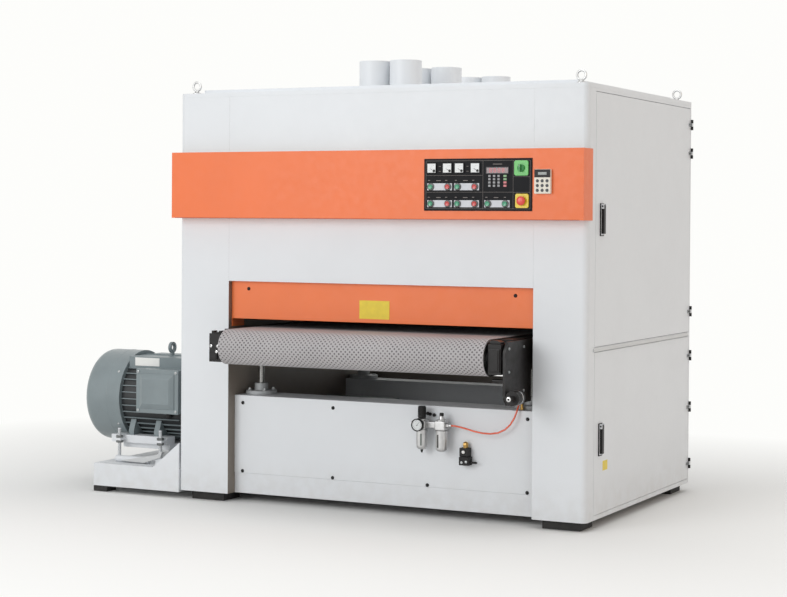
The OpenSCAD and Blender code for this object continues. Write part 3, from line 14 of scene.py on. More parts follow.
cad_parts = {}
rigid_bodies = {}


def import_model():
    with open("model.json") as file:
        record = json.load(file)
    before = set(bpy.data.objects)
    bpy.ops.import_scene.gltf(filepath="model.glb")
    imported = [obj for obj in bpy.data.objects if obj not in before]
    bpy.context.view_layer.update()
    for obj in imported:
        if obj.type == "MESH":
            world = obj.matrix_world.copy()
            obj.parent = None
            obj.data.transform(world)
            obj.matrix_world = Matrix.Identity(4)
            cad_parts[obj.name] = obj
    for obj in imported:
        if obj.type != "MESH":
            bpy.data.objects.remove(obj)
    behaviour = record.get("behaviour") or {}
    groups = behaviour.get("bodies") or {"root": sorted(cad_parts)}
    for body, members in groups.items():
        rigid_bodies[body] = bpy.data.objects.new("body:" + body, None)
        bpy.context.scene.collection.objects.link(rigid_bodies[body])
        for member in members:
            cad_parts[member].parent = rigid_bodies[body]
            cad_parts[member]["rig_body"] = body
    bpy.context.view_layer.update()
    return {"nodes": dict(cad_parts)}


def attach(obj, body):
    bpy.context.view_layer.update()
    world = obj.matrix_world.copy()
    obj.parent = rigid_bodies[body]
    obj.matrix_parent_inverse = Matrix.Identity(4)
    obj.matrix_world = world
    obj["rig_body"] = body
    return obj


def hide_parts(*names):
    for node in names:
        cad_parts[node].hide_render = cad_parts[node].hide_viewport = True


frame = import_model()

RGB = tuple[float, float, float]
Point = tuple[float, float, float]
Flat = tuple[float, float]
log = logging.getLogger("planer_sander")


def tint(red: int, green: int, blue: int) -> RGB:
    """Turns a screen colour, 0 to 255, into the linear colour that shaders use."""

    def channel(value: int) -> float:
        """One channel of it."""
        v = value / 255
        return v / 12.92 if v <= 0.04045 else ((v + 0.055) / 1.055) ** 2.4

    return channel(red), channel(green), channel(blue)


class Axis(Enum):
    """A direction of the machine: X to its right, Y from front to back, Z up."""

    X = (1.0, 0.0, 0.0)
    Y = (0.0, 1.0, 0.0)
    Z = (0.0, 0.0, 1.0)
    FRONT = (0.0, -1.0, 0.0)
    LEFT = (-1.0, 0.0, 0.0)
    DOWN = (0.0, 0.0, -1.0)

    @property
    def vector(self) -> Vector:
        """The direction as a vector."""
        return Vector(self.value)

    @property
    def turn(self) -> Matrix:
        """The rotation that lays a piece modelled along Z onto this direction."""
        return self.vector.to_track_quat("Z", "Y").to_matrix().to_4x4()


# Finishes


class Graph:
    """The node tree of one material, with its Principled shader ready.

    Args:
        name: The material's name.
    """

    def __init__(self, name: str) -> None:
        """Starts an empty tree that ends in a Principled shader."""
        self.material = bpy.data.materials.new(name)
        self.material.use_nodes = True
        self.tree = self.material.node_tree
        self.tree.nodes.clear()
        self.out = self.tree.nodes.new("ShaderNodeOutputMaterial")
        self.shader = self.tree.nodes.new("ShaderNodeBsdfPrincipled")
        self.join(self.shader.outputs[0], self.out.inputs["Surface"])

    def join(self, source: bpy.types.NodeSocket, target: bpy.types.NodeSocket) -> None:
        """Links two sockets."""
        self.tree.links.new(source, target)

    def add(self, kind: str, inputs: dict[str, object] | None = None, **settings: object) -> bpy.types.Node:
        """Adds a node.

        Args:
            kind: The node's type without its ShaderNode prefix.
            inputs: Values, or sockets to link, by input name or number.
            **settings: The node's own options.

        Returns:
            The new node.
        """
        node = self.tree.nodes.new("ShaderNode" + kind)
        for key, value in settings.items():
            setattr(node, key, value)
        for key, value in (inputs or {}).items():
            socket = node.inputs[key]
            if isinstance(value, bpy.types.NodeSocket):
                self.join(value, socket)
            else:
                socket.default_value = value
        return node

    def place(self, scale: Point = (1, 1, 1), turn: Point = (0, 0, 0),
              by_uv: bool = False) -> bpy.types.NodeSocket:
        """Coordinates of a pattern: the object's own, or its UV map, stretched and turned."""
        source = self.add("TexCoord").outputs["UV" if by_uv else "Object"]
        return self.add("Mapping", {"Vector": source, "Scale": scale, "Rotation": turn}).outputs[0]

    def noise(self, size: float, place: bpy.types.NodeSocket | None = None,
              detail: float = 3.0) -> bpy.types.NodeSocket:
        """Cloudy values from 0 to 1 with features of this size in metres."""
        where = place or self.place()
        return self.add("TexNoise", {"Vector": where, "Scale": 1 / size, "Detail": detail}).outputs[0]

    def ramp(self, value: bpy.types.NodeSocket, low: float, high: float, start: float,
             end: float) -> bpy.types.NodeSocket:
        """Maps low..high of a value onto start..end and holds it there beyond."""
        inputs = {0: value, 1: low, 2: high, 3: start, 4: end}
        return self.add("MapRange", inputs, clamp=True).outputs[0]

    def mix(self, factor: bpy.types.NodeSocket, first: object, second: object) -> bpy.types.NodeSocket:
        """Mixes two colours by a factor."""
        node = self.add("Mix", data_type="RGBA")
        self.join(factor, node.inputs[0])
        for socket, value in ((node.inputs[6], first), (node.inputs[7], second)):
            if isinstance(value, bpy.types.NodeSocket):
                self.join(value, socket)
            else:
                socket.default_value = (*value, 1.0)
        return node.outputs[2]

    def bump(self, height: bpy.types.NodeSocket, depth: float, strength: float = 1.0,
             under: bpy.types.NodeSocket | None = None) -> bpy.types.NodeSocket:
        """A bump of this depth in metres, over another one if it is given."""
        inputs: dict[str, object] = {"Height": height, "Distance": depth, "Strength": strength}
        if under is not None:
            inputs["Normal"] = under
        return self.add("Bump", inputs).outputs[0]

    def set(self, **values: object) -> None:
        """Sets or links the shader's sockets, named with _ for a space."""
        for key, value in values.items():
            socket = self.shader.inputs[key.replace("_", " ")]
            if isinstance(value, bpy.types.NodeSocket):
                self.join(value, socket)
            else:
                socket.default_value = value


_made: dict[str, bpy.types.Material] = {}


@dataclass(frozen=True)
class Finish:
    """A surface's finish.

    Args:
        name: The material's name.
        slot: The record's material slot that it belongs to; not used.
        colour: Its linear colour.
        rough: Its mean roughness.
        stray: How far its colour strays, as a share.
        cloud: The size of the patches in which it strays, in metres.
        grain: The size of its surface grain, in metres.
        depth: The depth of that grain, in metres.
    """

    name: str
    slot: str
    colour: RGB
    rough: float = 0.45
    stray: float = 0.05
    cloud: float = 0.3
    grain: float = 0.002
    depth: float = 0.0001

    def shade(self, factor: float) -> RGB:
        """Its colour made lighter or darker."""
        red, green, blue = (min(1.0, c * factor) for c in self.colour)
        return red, green, blue

    def body_colour(self, graph: Graph) -> bpy.types.NodeSocket:
        """Its colour with soft patches."""
        cloud = graph.ramp(graph.noise(self.cloud), 0.35, 0.65, 0.0, 1.0)
        return graph.mix(cloud, self.shade(1 - self.stray), self.shade(1 + self.stray))

    def dress(self, graph: Graph) -> None:
        """Fills the node tree."""
        fine = graph.noise(self.grain, detail=2.0)
        wide = graph.noise(self.cloud / 3)
        graph.set(
            Base_Color=self.body_colour(graph),
            Roughness=graph.ramp(wide, 0.3, 0.7, self.rough - 0.05, self.rough + 0.06),
            Normal=graph.bump(fine, self.depth),
        )

    @property
    def material(self) -> bpy.types.Material:
        """The material, made when it is first asked for."""
        if self.name not in _made:
            graph = Graph(self.name)
            self.dress(graph)
            _made[self.name] = graph.material
        return _made[self.name]


@dataclass(frozen=True)
class Paint(Finish):
    """Powder coat or machine enamel, with orange peel, a faint clear gloss and dust near the floor."""

    dust: RGB = tint(176, 168, 156)
    dust_top: float = 0.22
    dust_share: float = 0.22
    coat: float = 0.12
    shine: float = 0.5

    def dress(self, graph: Graph) -> None:
        """Fills the node tree."""
        colour = self.body_colour(graph)
        height = graph.add("SeparateXYZ", {0: graph.add("TexCoord").outputs["Object"]}).outputs[2]
        low = graph.ramp(height, 0.0, self.dust_top, self.dust_share, 0.0)
        patch = graph.ramp(graph.noise(0.06, detail=6.0), 0.38, 0.62, 0.2, 1.0)
        amount = graph.add("Math", {0: low, 1: patch}, operation="MULTIPLY").outputs[0]
        peel = graph.bump(graph.noise(self.grain, detail=2.0), self.depth)
        waves = graph.bump(graph.noise(0.18, detail=1.0), self.depth * 6, 0.5, peel)
        scuff = graph.ramp(graph.noise(0.035, detail=8.0), 0.3, 0.75, self.rough - 0.07, self.rough + 0.09)
        graph.set(
            Base_Color=graph.mix(amount, colour, self.dust),
            Roughness=scuff,
            Normal=waves,
            Coat_Weight=self.coat,
            Coat_Roughness=0.25,
            Specular_IOR_Level=self.shine,
        )


@dataclass(frozen=True)
class FacingTone(Paint):
    """Paint with another tone on the faces that look one way: painted shade on inside faces, or a paler tone
    on upward faces.
    """

    look: Axis = Axis.X
    # The default tone is painted shade for faces inside the cabinet.
    facing_tone: RGB = tint(128, 118, 108)

    def body_colour(self, graph: Graph) -> bpy.types.NodeSocket:
        """Its colour, with the other tone on those faces."""
        # Faces that look its way take the other tone: painted shade on inside faces, a paler tone on upward
        # ones.
        normal = graph.add("TexCoord").outputs["Normal"]
        facing = graph.add("VectorMath", {0: normal, 1: self.look.value},
                           operation="DOT_PRODUCT").outputs["Value"]
        return graph.mix(graph.ramp(facing, 0.6, 0.8, 0.0, 1.0), super().body_colour(graph), self.facing_tone)


@dataclass(frozen=True)
class Metal(Finish):
    """Bare metal with turning or grinding marks along one axis and faint staining."""

    stretch: Point = (1.0, 40.0, 40.0)
    stain: RGB = (0.22, 0.19, 0.16)
    stain_share: float = 0.18

    def dress(self, graph: Graph) -> None:
        """Fills the node tree."""
        lines = graph.noise(0.03, graph.place(self.stretch), detail=4.0)
        patch = graph.ramp(graph.noise(0.05, detail=7.0), 0.5, 0.72, 0.0, self.stain_share)
        graph.set(
            Base_Color=graph.mix(patch, self.body_colour(graph), self.stain),
            Metallic=1.0,
            Roughness=graph.ramp(lines, 0.3, 0.7, self.rough - 0.08, self.rough + 0.1),
            Normal=graph.bump(lines, self.depth),
        )


@dataclass(frozen=True)
class Casting(Finish):
    """Painted cast iron with its sand-cast skin."""

    def dress(self, graph: Graph) -> None:
        """Fills the node tree."""
        skin = graph.noise(0.004, detail=8.0)
        pits = graph.add("TexVoronoi", {"Vector": graph.place(), "Scale": 180.0}).outputs[0]
        graph.set(
            Base_Color=self.body_colour(graph),
            Roughness=graph.ramp(skin, 0.3, 0.7, self.rough - 0.1, self.rough + 0.12),
            Metallic=0.15,
            Normal=graph.bump(pits, self.depth, 0.4, graph.bump(skin, self.depth * 2)),
        )


@dataclass(frozen=True)
class Finned(Finish):
    """Enamel on a finned body with painted shade in its grooves, which are told by their distance from the
    axis.

    Args:
        axis: Where the body's axis lies, across X.
        root: The radius of the grooves' floor.
        reach: How far from it the shade goes.
        shadow: The painted shade colour in the grooves.
    """

    axis: Flat = (0.350, 0.449)
    root: float = 0.2042
    reach: float = 0.0020
    shadow: RGB = tint(36, 38, 40)

    def body_colour(self, graph: Graph) -> bpy.types.NodeSocket:
        """Its colour, with painted shade in the grooves."""
        place = graph.add("TexCoord").outputs["Object"]
        off = graph.add("VectorMath", {0: place, 1: (0.0, *self.axis)}, operation="SUBTRACT").outputs[0]
        flat = graph.add("VectorMath", {0: off, 1: (0.0, 1.0, 1.0)}, operation="MULTIPLY").outputs[0]
        radius = graph.add("VectorMath", {0: flat}, operation="LENGTH").outputs["Value"]
        # Mask of the grooves' floor, where shade is painted.
        floor = graph.add("Math", {0: radius, 1: self.root, 2: self.reach}, operation="COMPARE").outputs[0]
        return graph.mix(floor, super().body_colour(graph), self.shadow)


@dataclass(frozen=True)
class BeltTop(Finish):
    """Rubber belt with rows of dark dimples set as diamonds, laid out on the belt's UV map."""

    dot: RGB = tint(84, 80, 82)
    pitch: float = 0.0155
    dot_share: float = 0.27

    def dress(self, graph: Graph) -> None:
        """Fills the node tree."""
        step = 1 / self.pitch
        lattice = graph.place((step, step, step), (0, 0, math.radians(45)), by_uv=True)
        cell = graph.add("TexVoronoi", {"Vector": lattice, "Scale": 1.0, "Randomness": 0.0}).outputs[0]
        mark = graph.ramp(cell, self.dot_share * 0.8, self.dot_share * 1.25, 1.0, 0.0)
        worn = graph.ramp(graph.noise(0.09, detail=5.0), 0.3, 0.7, 0.65, 1.0)
        amount = graph.add("Math", {0: mark, 1: worn}, operation="MULTIPLY").outputs[0]
        fine = graph.bump(graph.noise(0.0015, detail=3.0), 0.0002)
        pit = graph.ramp(cell, self.dot_share * 0.7, self.dot_share * 1.5, 0.0, 1.0)
        graph.set(
            Base_Color=graph.mix(amount, self.body_colour(graph), self.dot),
            Roughness=graph.ramp(graph.noise(0.01), 0.3, 0.7, 0.6, 0.82),
            Normal=graph.bump(pit, 0.0012, 0.9, fine),
        )


@dataclass(frozen=True)
class Grit(Finish):
    """Abrasive cloth: dark grains in a brown bond."""

    def dress(self, graph: Graph) -> None:
        """Fills the node tree."""
        grains = graph.add("TexVoronoi", {"Vector": graph.place(), "Scale": 900.0}).outputs[0]
        speck = graph.ramp(grains, 0.1, 0.5, 0.0, 1.0)
        graph.set(
            Base_Color=graph.mix(speck, self.shade(0.55), self.body_colour(graph)),
            Roughness=graph.ramp(grains, 0.0, 0.6, 0.75, 0.95),
            Normal=graph.bump(grains, 0.0004),
        )


@dataclass(frozen=True)
class Moulded(Finish):
    """Moulded plastic with a spark-eroded texture, or gloss where the grain is shallow."""

    coat: float = 0.0
    shine: float = 0.5

    def dress(self, graph: Graph) -> None:
        """Fills the node tree."""
        fine = graph.noise(self.grain, detail=4.0)
        wide = graph.noise(self.cloud / 4)
        graph.set(
            Base_Color=self.body_colour(graph),
            Roughness=graph.ramp(wide, 0.3, 0.7, self.rough - 0.04, self.rough + 0.05),
            Normal=graph.bump(fine, self.depth),
            Coat_Weight=self.coat,
            Coat_Roughness=0.1,
            Specular_IOR_Level=self.shine,
        )


@dataclass(frozen=True)
class Lens(Finish):
    """Clear or tinted window of plastic, glossy over what lies behind it."""

    cover: float = 0.16

    def dress(self, graph: Graph) -> None:
        """Fills the node tree."""
        smear = graph.noise(0.02, detail=5.0)
        graph.set(
            Base_Color=self.body_colour(graph),
            Roughness=graph.ramp(smear, 0.3, 0.7, 0.04, 0.12),
            Alpha=self.cover,
            Coat_Weight=0.5,
            Coat_Roughness=0.03,
        )


@dataclass(frozen=True)
class Glow(Finish):
    """A lit display segment."""

    power: float = 1.2

    def dress(self, graph: Graph) -> None:
        """Fills the node tree."""
        flicker = graph.ramp(graph.noise(0.002), 0.3, 0.7, 0.35, 0.45)
        graph.set(Base_Color=self.body_colour(graph), Roughness=flicker,
                  Emission_Color=(*self.colour, 1.0), Emission_Strength=self.power)


# Surfaces that several finishes share: powder coat, printed marks, pad keys, gloss buttons and enamel
POWDER = {"rough": 0.46, "grain": 0.0016, "depth": 0.00002}
PRINT = {"rough": 0.5, "stray": 0.03, "cloud": 0.02, "depth": 0.00001}
PAD = {"rough": 0.45, "stray": 0.06, "cloud": 0.01, "depth": 0.00001}
BUTTON = {"rough": 0.28, "stray": 0.05, "cloud": 0.01, "depth": 0.00001, "coat": 0.6}
ENAMEL = {"stray": 0.05, "cloud": 0.12, "grain": 0.003, "depth": 0.00008}
WHITE_TONE, ENAMEL_TONE = tint(226, 229, 232), tint(127, 138, 141)

WHITE = Paint("white_powder_coat", "white_paint", WHITE_TONE, stray=0.012, **POWDER)
# The columns' and rear sheet's inside faces take painted shade.
INSIDE_LEFT, INSIDE_RIGHT, INSIDE_BACK = (
    FacingTone(f"white_{where}", "white_paint", WHITE_TONE, stray=0.012, look=look, **POWDER)
    for where, look in (("left_column", Axis.X), ("right_column", Axis.LEFT), ("rear_panels", Axis.FRONT)))
# The band's upward faces take a paler tone.
BAND = FacingTone("orange_band", "orange_paint", tint(238, 117, 60), stray=0.02, look=Axis.Z,
              facing_tone=tint(204, 190, 176), **POWDER)
ORANGE = Paint("orange_powder_coat", "orange_paint", tint(243, 124, 66), stray=0.02, **POWDER)
BLACK = Paint("black_machine_paint", "black_paint", tint(30, 28, 28), rough=0.42, stray=0.12, cloud=0.05,
              grain=0.0012, depth=0.00005, dust_share=0.1, coat=0.05, shine=0.3)
# A dark orange strip along the band's lower edge: a painted shadow line.
BAND_SHADE_LINE = Paint("orange_shade_line", "orange_paint", tint(176, 74, 42), rough=0.5, stray=0.02, grain=0.0016,
             depth=0.00002)
# The motor housing's fin grooves get painted shade.
FINS = Finned("finned_enamel_groove_shade", "motor_paint", ENAMEL_TONE, rough=0.4, **ENAMEL)
MOTOR = Paint("grey_green_enamel", "motor_paint", ENAMEL_TONE, rough=0.36, coat=0.3, **ENAMEL)
DARK_MOTOR = Paint("shaded_enamel", "motor_paint", tint(112, 128, 130), rough=0.5, stray=0.08, cloud=0.08,
                   grain=0.003, depth=0.0001)
# A darker copy of the white paint: painted shade on the drip strip and the tilt arm.
SHADED_WHITE_SHEET = Paint("white_sheet_painted_shade", "white_paint", tint(206, 208, 208), rough=0.5, stray=0.02, grain=0.0016,
              depth=0.00002)
STEEL = Metal("ground_steel", "bright_steel", tint(196, 198, 200), rough=0.3, stray=0.05, depth=0.00004)
UPRIGHT = Metal("turned_steel", "bright_steel", tint(188, 188, 186), rough=0.28, stray=0.06, depth=0.00003,
                stretch=(8.0, 8.0, 60.0))
CHROME = Metal("plated_ring", "bright_steel", tint(214, 214, 214), rough=0.16, stray=0.03, depth=0.00001,
               stain_share=0.05)
ZINC = Metal("zinc_plate", "zinc_plate", tint(186, 189, 190), rough=0.36, stray=0.08, cloud=0.04,
             depth=0.00003, stretch=(6.0, 6.0, 6.0))
BRASS = Metal("turned_brass", "air_aluminium", tint(196, 158, 92), rough=0.3, stray=0.08, depth=0.00003)
ALLOY = Metal("die_cast_alloy", "air_aluminium", tint(200, 200, 200), rough=0.4, stray=0.06, cloud=0.03,
              depth=0.00005, stretch=(3.0, 3.0, 3.0), stain_share=0.08)
DARK_STEEL = Metal("dark_screw", "zinc_plate", tint(118, 120, 120), rough=0.4, stray=0.1, cloud=0.03,
                   depth=0.00004, stretch=(8.0, 8.0, 60.0))
RING = Metal("dark_ring", "bright_steel", tint(112, 114, 114), rough=0.3, stray=0.05, cloud=0.02,
             depth=0.00001, stain_share=0.05)
JACK = Casting("pale_casting", "cast_iron", tint(182, 185, 186), rough=0.5, stray=0.06, cloud=0.06,
               depth=0.0002)
SEAL = Finish("pale_seal", "black_rubber", tint(192, 190, 186), rough=0.75, stray=0.05, cloud=0.05,
              grain=0.0015, depth=0.0001)
IRON = Casting("painted_casting", "cast_iron", tint(104, 108, 110), rough=0.5, stray=0.1, cloud=0.06,
               depth=0.0003)
RUBBER = Finish("black_rubber", "black_rubber", tint(44, 43, 42), rough=0.78, stray=0.18, cloud=0.05,
                grain=0.0015, depth=0.0002)
BELT = BeltTop("dimpled_belt", "feed_belt_rubber", tint(179, 176, 177), stray=0.04, cloud=0.25)
BELT_EDGE = Finish("belt_carcass", "feed_belt_rubber", tint(96, 92, 92), rough=0.8, stray=0.1, cloud=0.02,
                   depth=0.0002)
GRIT = Grit("abrasive_cloth", "abrasive_cloth", tint(128, 78, 54), stray=0.08, cloud=0.2)
PANEL = Moulded("black_panel", "black_plastic", tint(24, 24, 27), shine=0.1, rough=0.42, stray=0.08,
                grain=0.0008, depth=0.00003)
KNOB = Moulded("black_knob", "black_plastic", tint(28, 27, 27), shine=0.3, rough=0.45, stray=0.1, cloud=0.03,
               grain=0.0008, depth=0.00006)
LINE = Moulded("pale_print", "grey_plastic", tint(196, 196, 192), **PRINT)
FAINT = Moulded("faint_print", "grey_plastic", tint(124, 116, 112), **PRINT)
KEY = Moulded("pad_key", "grey_plastic", tint(158, 158, 160), **PAD)
KEY_GREEN = Moulded("pad_key_green", "green_plastic", tint(140, 178, 134), **PAD)
KEY_RED = Moulded("pad_key_red", "red_plastic", tint(206, 124, 128), **PAD)
PLATE = Moulded("pale_plate", "grey_plastic", tint(200, 202, 208), rough=0.4, stray=0.03, cloud=0.03,
                depth=0.00002, coat=0.2)
DIAL = Moulded("dial_card", "grey_plastic", tint(236, 238, 238), rough=0.55, stray=0.02, cloud=0.02,
               depth=0.00001)
CREAM = Moulded("cream_shell", "grey_plastic", tint(232, 227, 214), rough=0.45, stray=0.04, cloud=0.03,
                depth=0.00003)
LABEL = Moulded("bare_plate", "grey_plastic", tint(240, 240, 236), rough=0.4, stray=0.015, cloud=0.05,
                depth=0.00001)
GREEN = Moulded("green_button", "green_plastic", tint(56, 150, 112), **BUTTON)
GREEN_PLATE = Moulded("green_plate", "green_plastic", tint(88, 186, 84), rough=0.36, stray=0.04, cloud=0.02,
                      depth=0.00001, coat=0.3)
SWITCH_GREEN = Moulded("switch_green", "green_plastic", tint(48, 138, 68), rough=0.35, stray=0.05, cloud=0.01,
                       depth=0.00001, coat=0.3)
STOP_RED = Moulded("stop_red", "red_plastic", tint(224, 66, 58), rough=0.35, stray=0.05, cloud=0.01,
                   depth=0.00001, coat=0.4)
RED = Moulded("red_button", "red_plastic", tint(196, 54, 52), **BUTTON)
RED_GLASS = Moulded("display_window", "red_plastic", tint(78, 18, 27), rough=0.2, stray=0.1, cloud=0.02,
                    depth=0.00001, coat=0.8)
YELLOW = Moulded("yellow_plate", "grey_plastic", tint(232, 205, 46), rough=0.42, stray=0.04, cloud=0.03,
                 depth=0.00001, coat=0.2)
DISPLAY_SEGMENT = Glow("display_segment", "red_plastic", tint(206, 62, 76), stray=0.05, cloud=0.01, power=0.5)
LCD = Moulded("grey_display", "grey_plastic", tint(120, 126, 122), rough=0.25, stray=0.08, cloud=0.01,
              depth=0.00001, coat=0.5)
HOSE = Moulded("orange_tube", "orange_hose", tint(232, 96, 60), rough=0.3, stray=0.05, cloud=0.05,
               grain=0.001, depth=0.00002, coat=0.4)
OIL_GLASS = Moulded("dark_sight", "black_plastic", tint(50, 48, 46), rough=0.15, stray=0.1, cloud=0.02,
                    depth=0.00001, coat=0.7)
GLASS = Lens("gauge_lens", "grey_plastic", tint(235, 240, 240))
CABLE_DUCT = Moulded("cable_duct", "grey_plastic", tint(150, 152, 154), rough=0.5, stray=0.05, cloud=0.05,
                     depth=0.00004)
DEVICE = Moulded("switchgear_shell", "grey_plastic", tint(72, 74, 78), rough=0.5, stray=0.08, cloud=0.04,
                 depth=0.00005)


# Modelling


MERGE = 0.00001  # points closer than this are one
FLAT_COS = 0.95  # a face looks along an axis when the cosine between them passes this
SMOOTH_ANGLE, WIRE_ANGLE = 50, 60  # edges flatter than this many degrees are shaded smooth


class Bench:
    """The workbench: Blender's own modelling steps, each leaving one finished mesh at the origin."""

    def clear(self) -> None:
        """Leaves object mode with nothing selected."""
        if bpy.context.object is not None and bpy.context.object.mode != "OBJECT":
            bpy.ops.object.mode_set(mode="OBJECT")
        bpy.ops.object.select_all(action="DESELECT")

    def pick(self, piece: bpy.types.Object) -> None:
        """Makes a piece the only selected and active one."""
        self.clear()
        piece.select_set(True)
        bpy.context.view_layer.objects.active = piece

    def edit(self, piece: bpy.types.Object) -> None:
        """Opens a piece in edit mode with all of it selected."""
        self.pick(piece)
        bpy.ops.object.mode_set(mode="EDIT")
        bpy.ops.mesh.select_mode(type="VERT")
        bpy.ops.mesh.select_all(action="SELECT")

    def close(self) -> None:
        """Goes back to object mode."""
        bpy.ops.object.mode_set(mode="OBJECT")

    def settle(self, piece: bpy.types.Object, name: str) -> bpy.types.Object:
        """Names a piece and puts its place into its mesh."""
        self.pick(piece)
        bpy.ops.object.transform_apply(location=True, rotation=True, scale=True)
        piece.name = name
        piece.data.name = name
        return piece

    def apply(self, piece: bpy.types.Object, kind: str, **settings: object) -> None:
        """Adds a modifier with these settings and applies it."""
        self.pick(piece)
        modifier = piece.modifiers.new(kind.title(), kind)
        for key, value in settings.items():
            setattr(modifier, key, value)
        bpy.ops.object.modifier_apply(modifier=modifier.name)

    def soften(self, piece: bpy.types.Object, width: float, segments: int = 2,
               angle: float = 38.0) -> bpy.types.Object:
        """Rounds the sharp edges of a piece and shades it smooth, keeping its flats flat.

        Args:
            piece: The piece.
            width: The width of the rounding in metres, or 0 for none.
            segments: Steps across the rounding.
            angle: Edges sharper than this, in degrees, are rounded.

        Returns:
            The same piece.
        """
        if width > 0:
            self.apply(piece, "BEVEL", width=width, segments=segments, limit_method="ANGLE",
                       angle_limit=math.radians(angle), use_clamp_overlap=True, miter_outer="MITER_ARC")
        self.pick(piece)
        bpy.ops.object.shade_smooth_by_angle(angle=math.radians(SMOOTH_ANGLE))
        self.apply(piece, "WEIGHTED_NORMAL", weight=60, keep_sharp=True)
        return piece

    def box(self, name: str, low: Point, high: Point, soft: float = 0.0015,
            segments: int = 2) -> bpy.types.Object:
        """A block between two corners with rounded edges."""
        most = min(b - a for a, b in zip(low, high)) * 0.45
        return self.soften(self.block(name, low, high), min(soft, most), segments)

    def block(self, name: str, low: Point, high: Point) -> bpy.types.Object:
        """A sharp block between two corners, to work on."""
        self.clear()
        bpy.ops.mesh.primitive_cube_add(size=1, location=[(a + b) / 2 for a, b in zip(low, high)],
                                        scale=[b - a for a, b in zip(low, high)])
        return self.settle(bpy.context.object, name)

    def tray(self, name: str, low: Point, high: Point, axis: Axis, rim: float, sink: float,
             soft: float = 0.0012) -> bpy.types.Object:
        """A block whose face towards an axis has a raised rim, made by inset and extrude.

        Args:
            name: The piece's name.
            low: Its lowest corner.
            high: Its highest corner.
            axis: The direction of the worked face.
            rim: The rim's width in metres.
            sink: How far the middle sinks, or rises where it is negative.
            soft: Width of the edge rounding.

        Returns:
            The piece.
        """
        piece = self.block(name, low, high)
        self.faces(piece, axis)
        bpy.ops.mesh.inset(thickness=rim, depth=0)
        bpy.ops.mesh.extrude_region_move(TRANSFORM_OT_translate={"value": tuple(-sink * axis.vector)})
        self.close()
        return self.soften(piece, soft)

    def faces(self, piece: bpy.types.Object, axis: Axis) -> None:
        """Opens a piece in edit mode with only its faces towards an axis selected."""
        self.edit(piece)
        bpy.ops.mesh.select_mode(type="FACE")
        bpy.ops.mesh.select_all(action="DESELECT")
        mesh = bmesh.from_edit_mesh(piece.data)
        for face in mesh.faces:
            face.select_set(face.normal.dot(axis.vector) > FLAT_COS)
        bmesh.update_edit_mesh(piece.data)

    def rod(self, name: str, start: Point, axis: Axis, length: float, radius: float, sides: int = 40,
            soft: float = 0.001) -> bpy.types.Object:
        """A round or many-sided bar from a point along an axis, with its ends chamfered."""
        centre = Vector(start) + axis.vector * length / 2
        self.clear()
        bpy.ops.mesh.primitive_cylinder_add(vertices=sides, radius=radius, depth=length, location=centre,
                                            rotation=axis.turn.to_euler())
        piece = self.settle(bpy.context.object, name)
        return self.soften(piece, soft, angle=50.0)

    def turned(self, name: str, outline: Sequence[Flat], at: Point, axis: Axis, steps: int = 48,
               soft: float = 0.0) -> bpy.types.Object:
        """A lathe-turned piece: an outline of radius and height, spun round an axis.

        Args:
            name: The piece's name.
            outline: Pairs of radius and height, from one end to the other.
            at: Where the outline's height 0 lies.
            axis: The axis of the lathe.
            steps: Steps round the turn.
            soft: Width of the edge rounding.

        Returns:
            The piece.
        """
        closed = outline[0] == outline[-1]
        points = list(outline[:-1] if closed else outline)
        mesh = bpy.data.meshes.new(name)
        count = len(points)
        edges = [(i, (i + 1) % count) for i in range(count if closed else count - 1)]
        mesh.from_pydata([(r, 0, h) for r, h in points], edges, [])
        piece = bpy.data.objects.new(name, mesh)
        bpy.context.scene.collection.objects.link(piece)
        self.edit(piece)
        bpy.ops.mesh.spin(steps=steps, angle=math.tau, use_auto_merge=True, center=(0, 0, 0), axis=(0, 0, 1))
        bpy.ops.mesh.select_all(action="SELECT")
        bpy.ops.mesh.remove_doubles(threshold=MERGE)
        bpy.ops.mesh.normals_make_consistent(inside=False)
        self.close()
        piece.data.transform(Matrix.Translation(Vector(at)) @ axis.turn)
        return self.soften(piece, soft, angle=40.0)

    def pressed(self, name: str, outline: Sequence[Point], push: Point, soft: float = 0.0015,
                segments: int = 2) -> bpy.types.Object:
        """A flat outline of points pushed out along a vector."""
        mesh = bpy.data.meshes.new(name)
        mesh.from_pydata([tuple(p) for p in outline], [], [tuple(range(len(outline)))])
        piece = bpy.data.objects.new(name, mesh)
        bpy.context.scene.collection.objects.link(piece)
        self.edit(piece)
        bpy.ops.mesh.extrude_region_move(TRANSFORM_OT_translate={"value": tuple(push)})
        bpy.ops.mesh.select_all(action="SELECT")
        bpy.ops.mesh.normals_make_consistent(inside=False)
        self.close()
        return self.soften(piece, soft, segments)

    def wire(self, name: str, points: Sequence[Point], radius: float, closed: bool = False,
             as_mesh: bool = True) -> bpy.types.Object:
        """A round wire or tube along smooth points."""
        curve = bpy.data.curves.new(name, "CURVE")
        curve.dimensions = "3D"
        curve.bevel_depth = radius
        curve.bevel_resolution = 4
        curve.use_fill_caps = not closed
        spline = curve.splines.new("POLY")
        spline.points.add(len(points) - 1)
        for target, point in zip(spline.points, points):
            target.co = (*point, 1.0)
        spline.use_cyclic_u = closed
        piece = bpy.data.objects.new(name, curve)
        bpy.context.scene.collection.objects.link(piece)
        if as_mesh:
            self.pick(piece)
            bpy.ops.object.convert(target="MESH")
            piece = bpy.context.object
            bpy.ops.object.shade_smooth_by_angle(angle=math.radians(WIRE_ANGLE))
        return piece

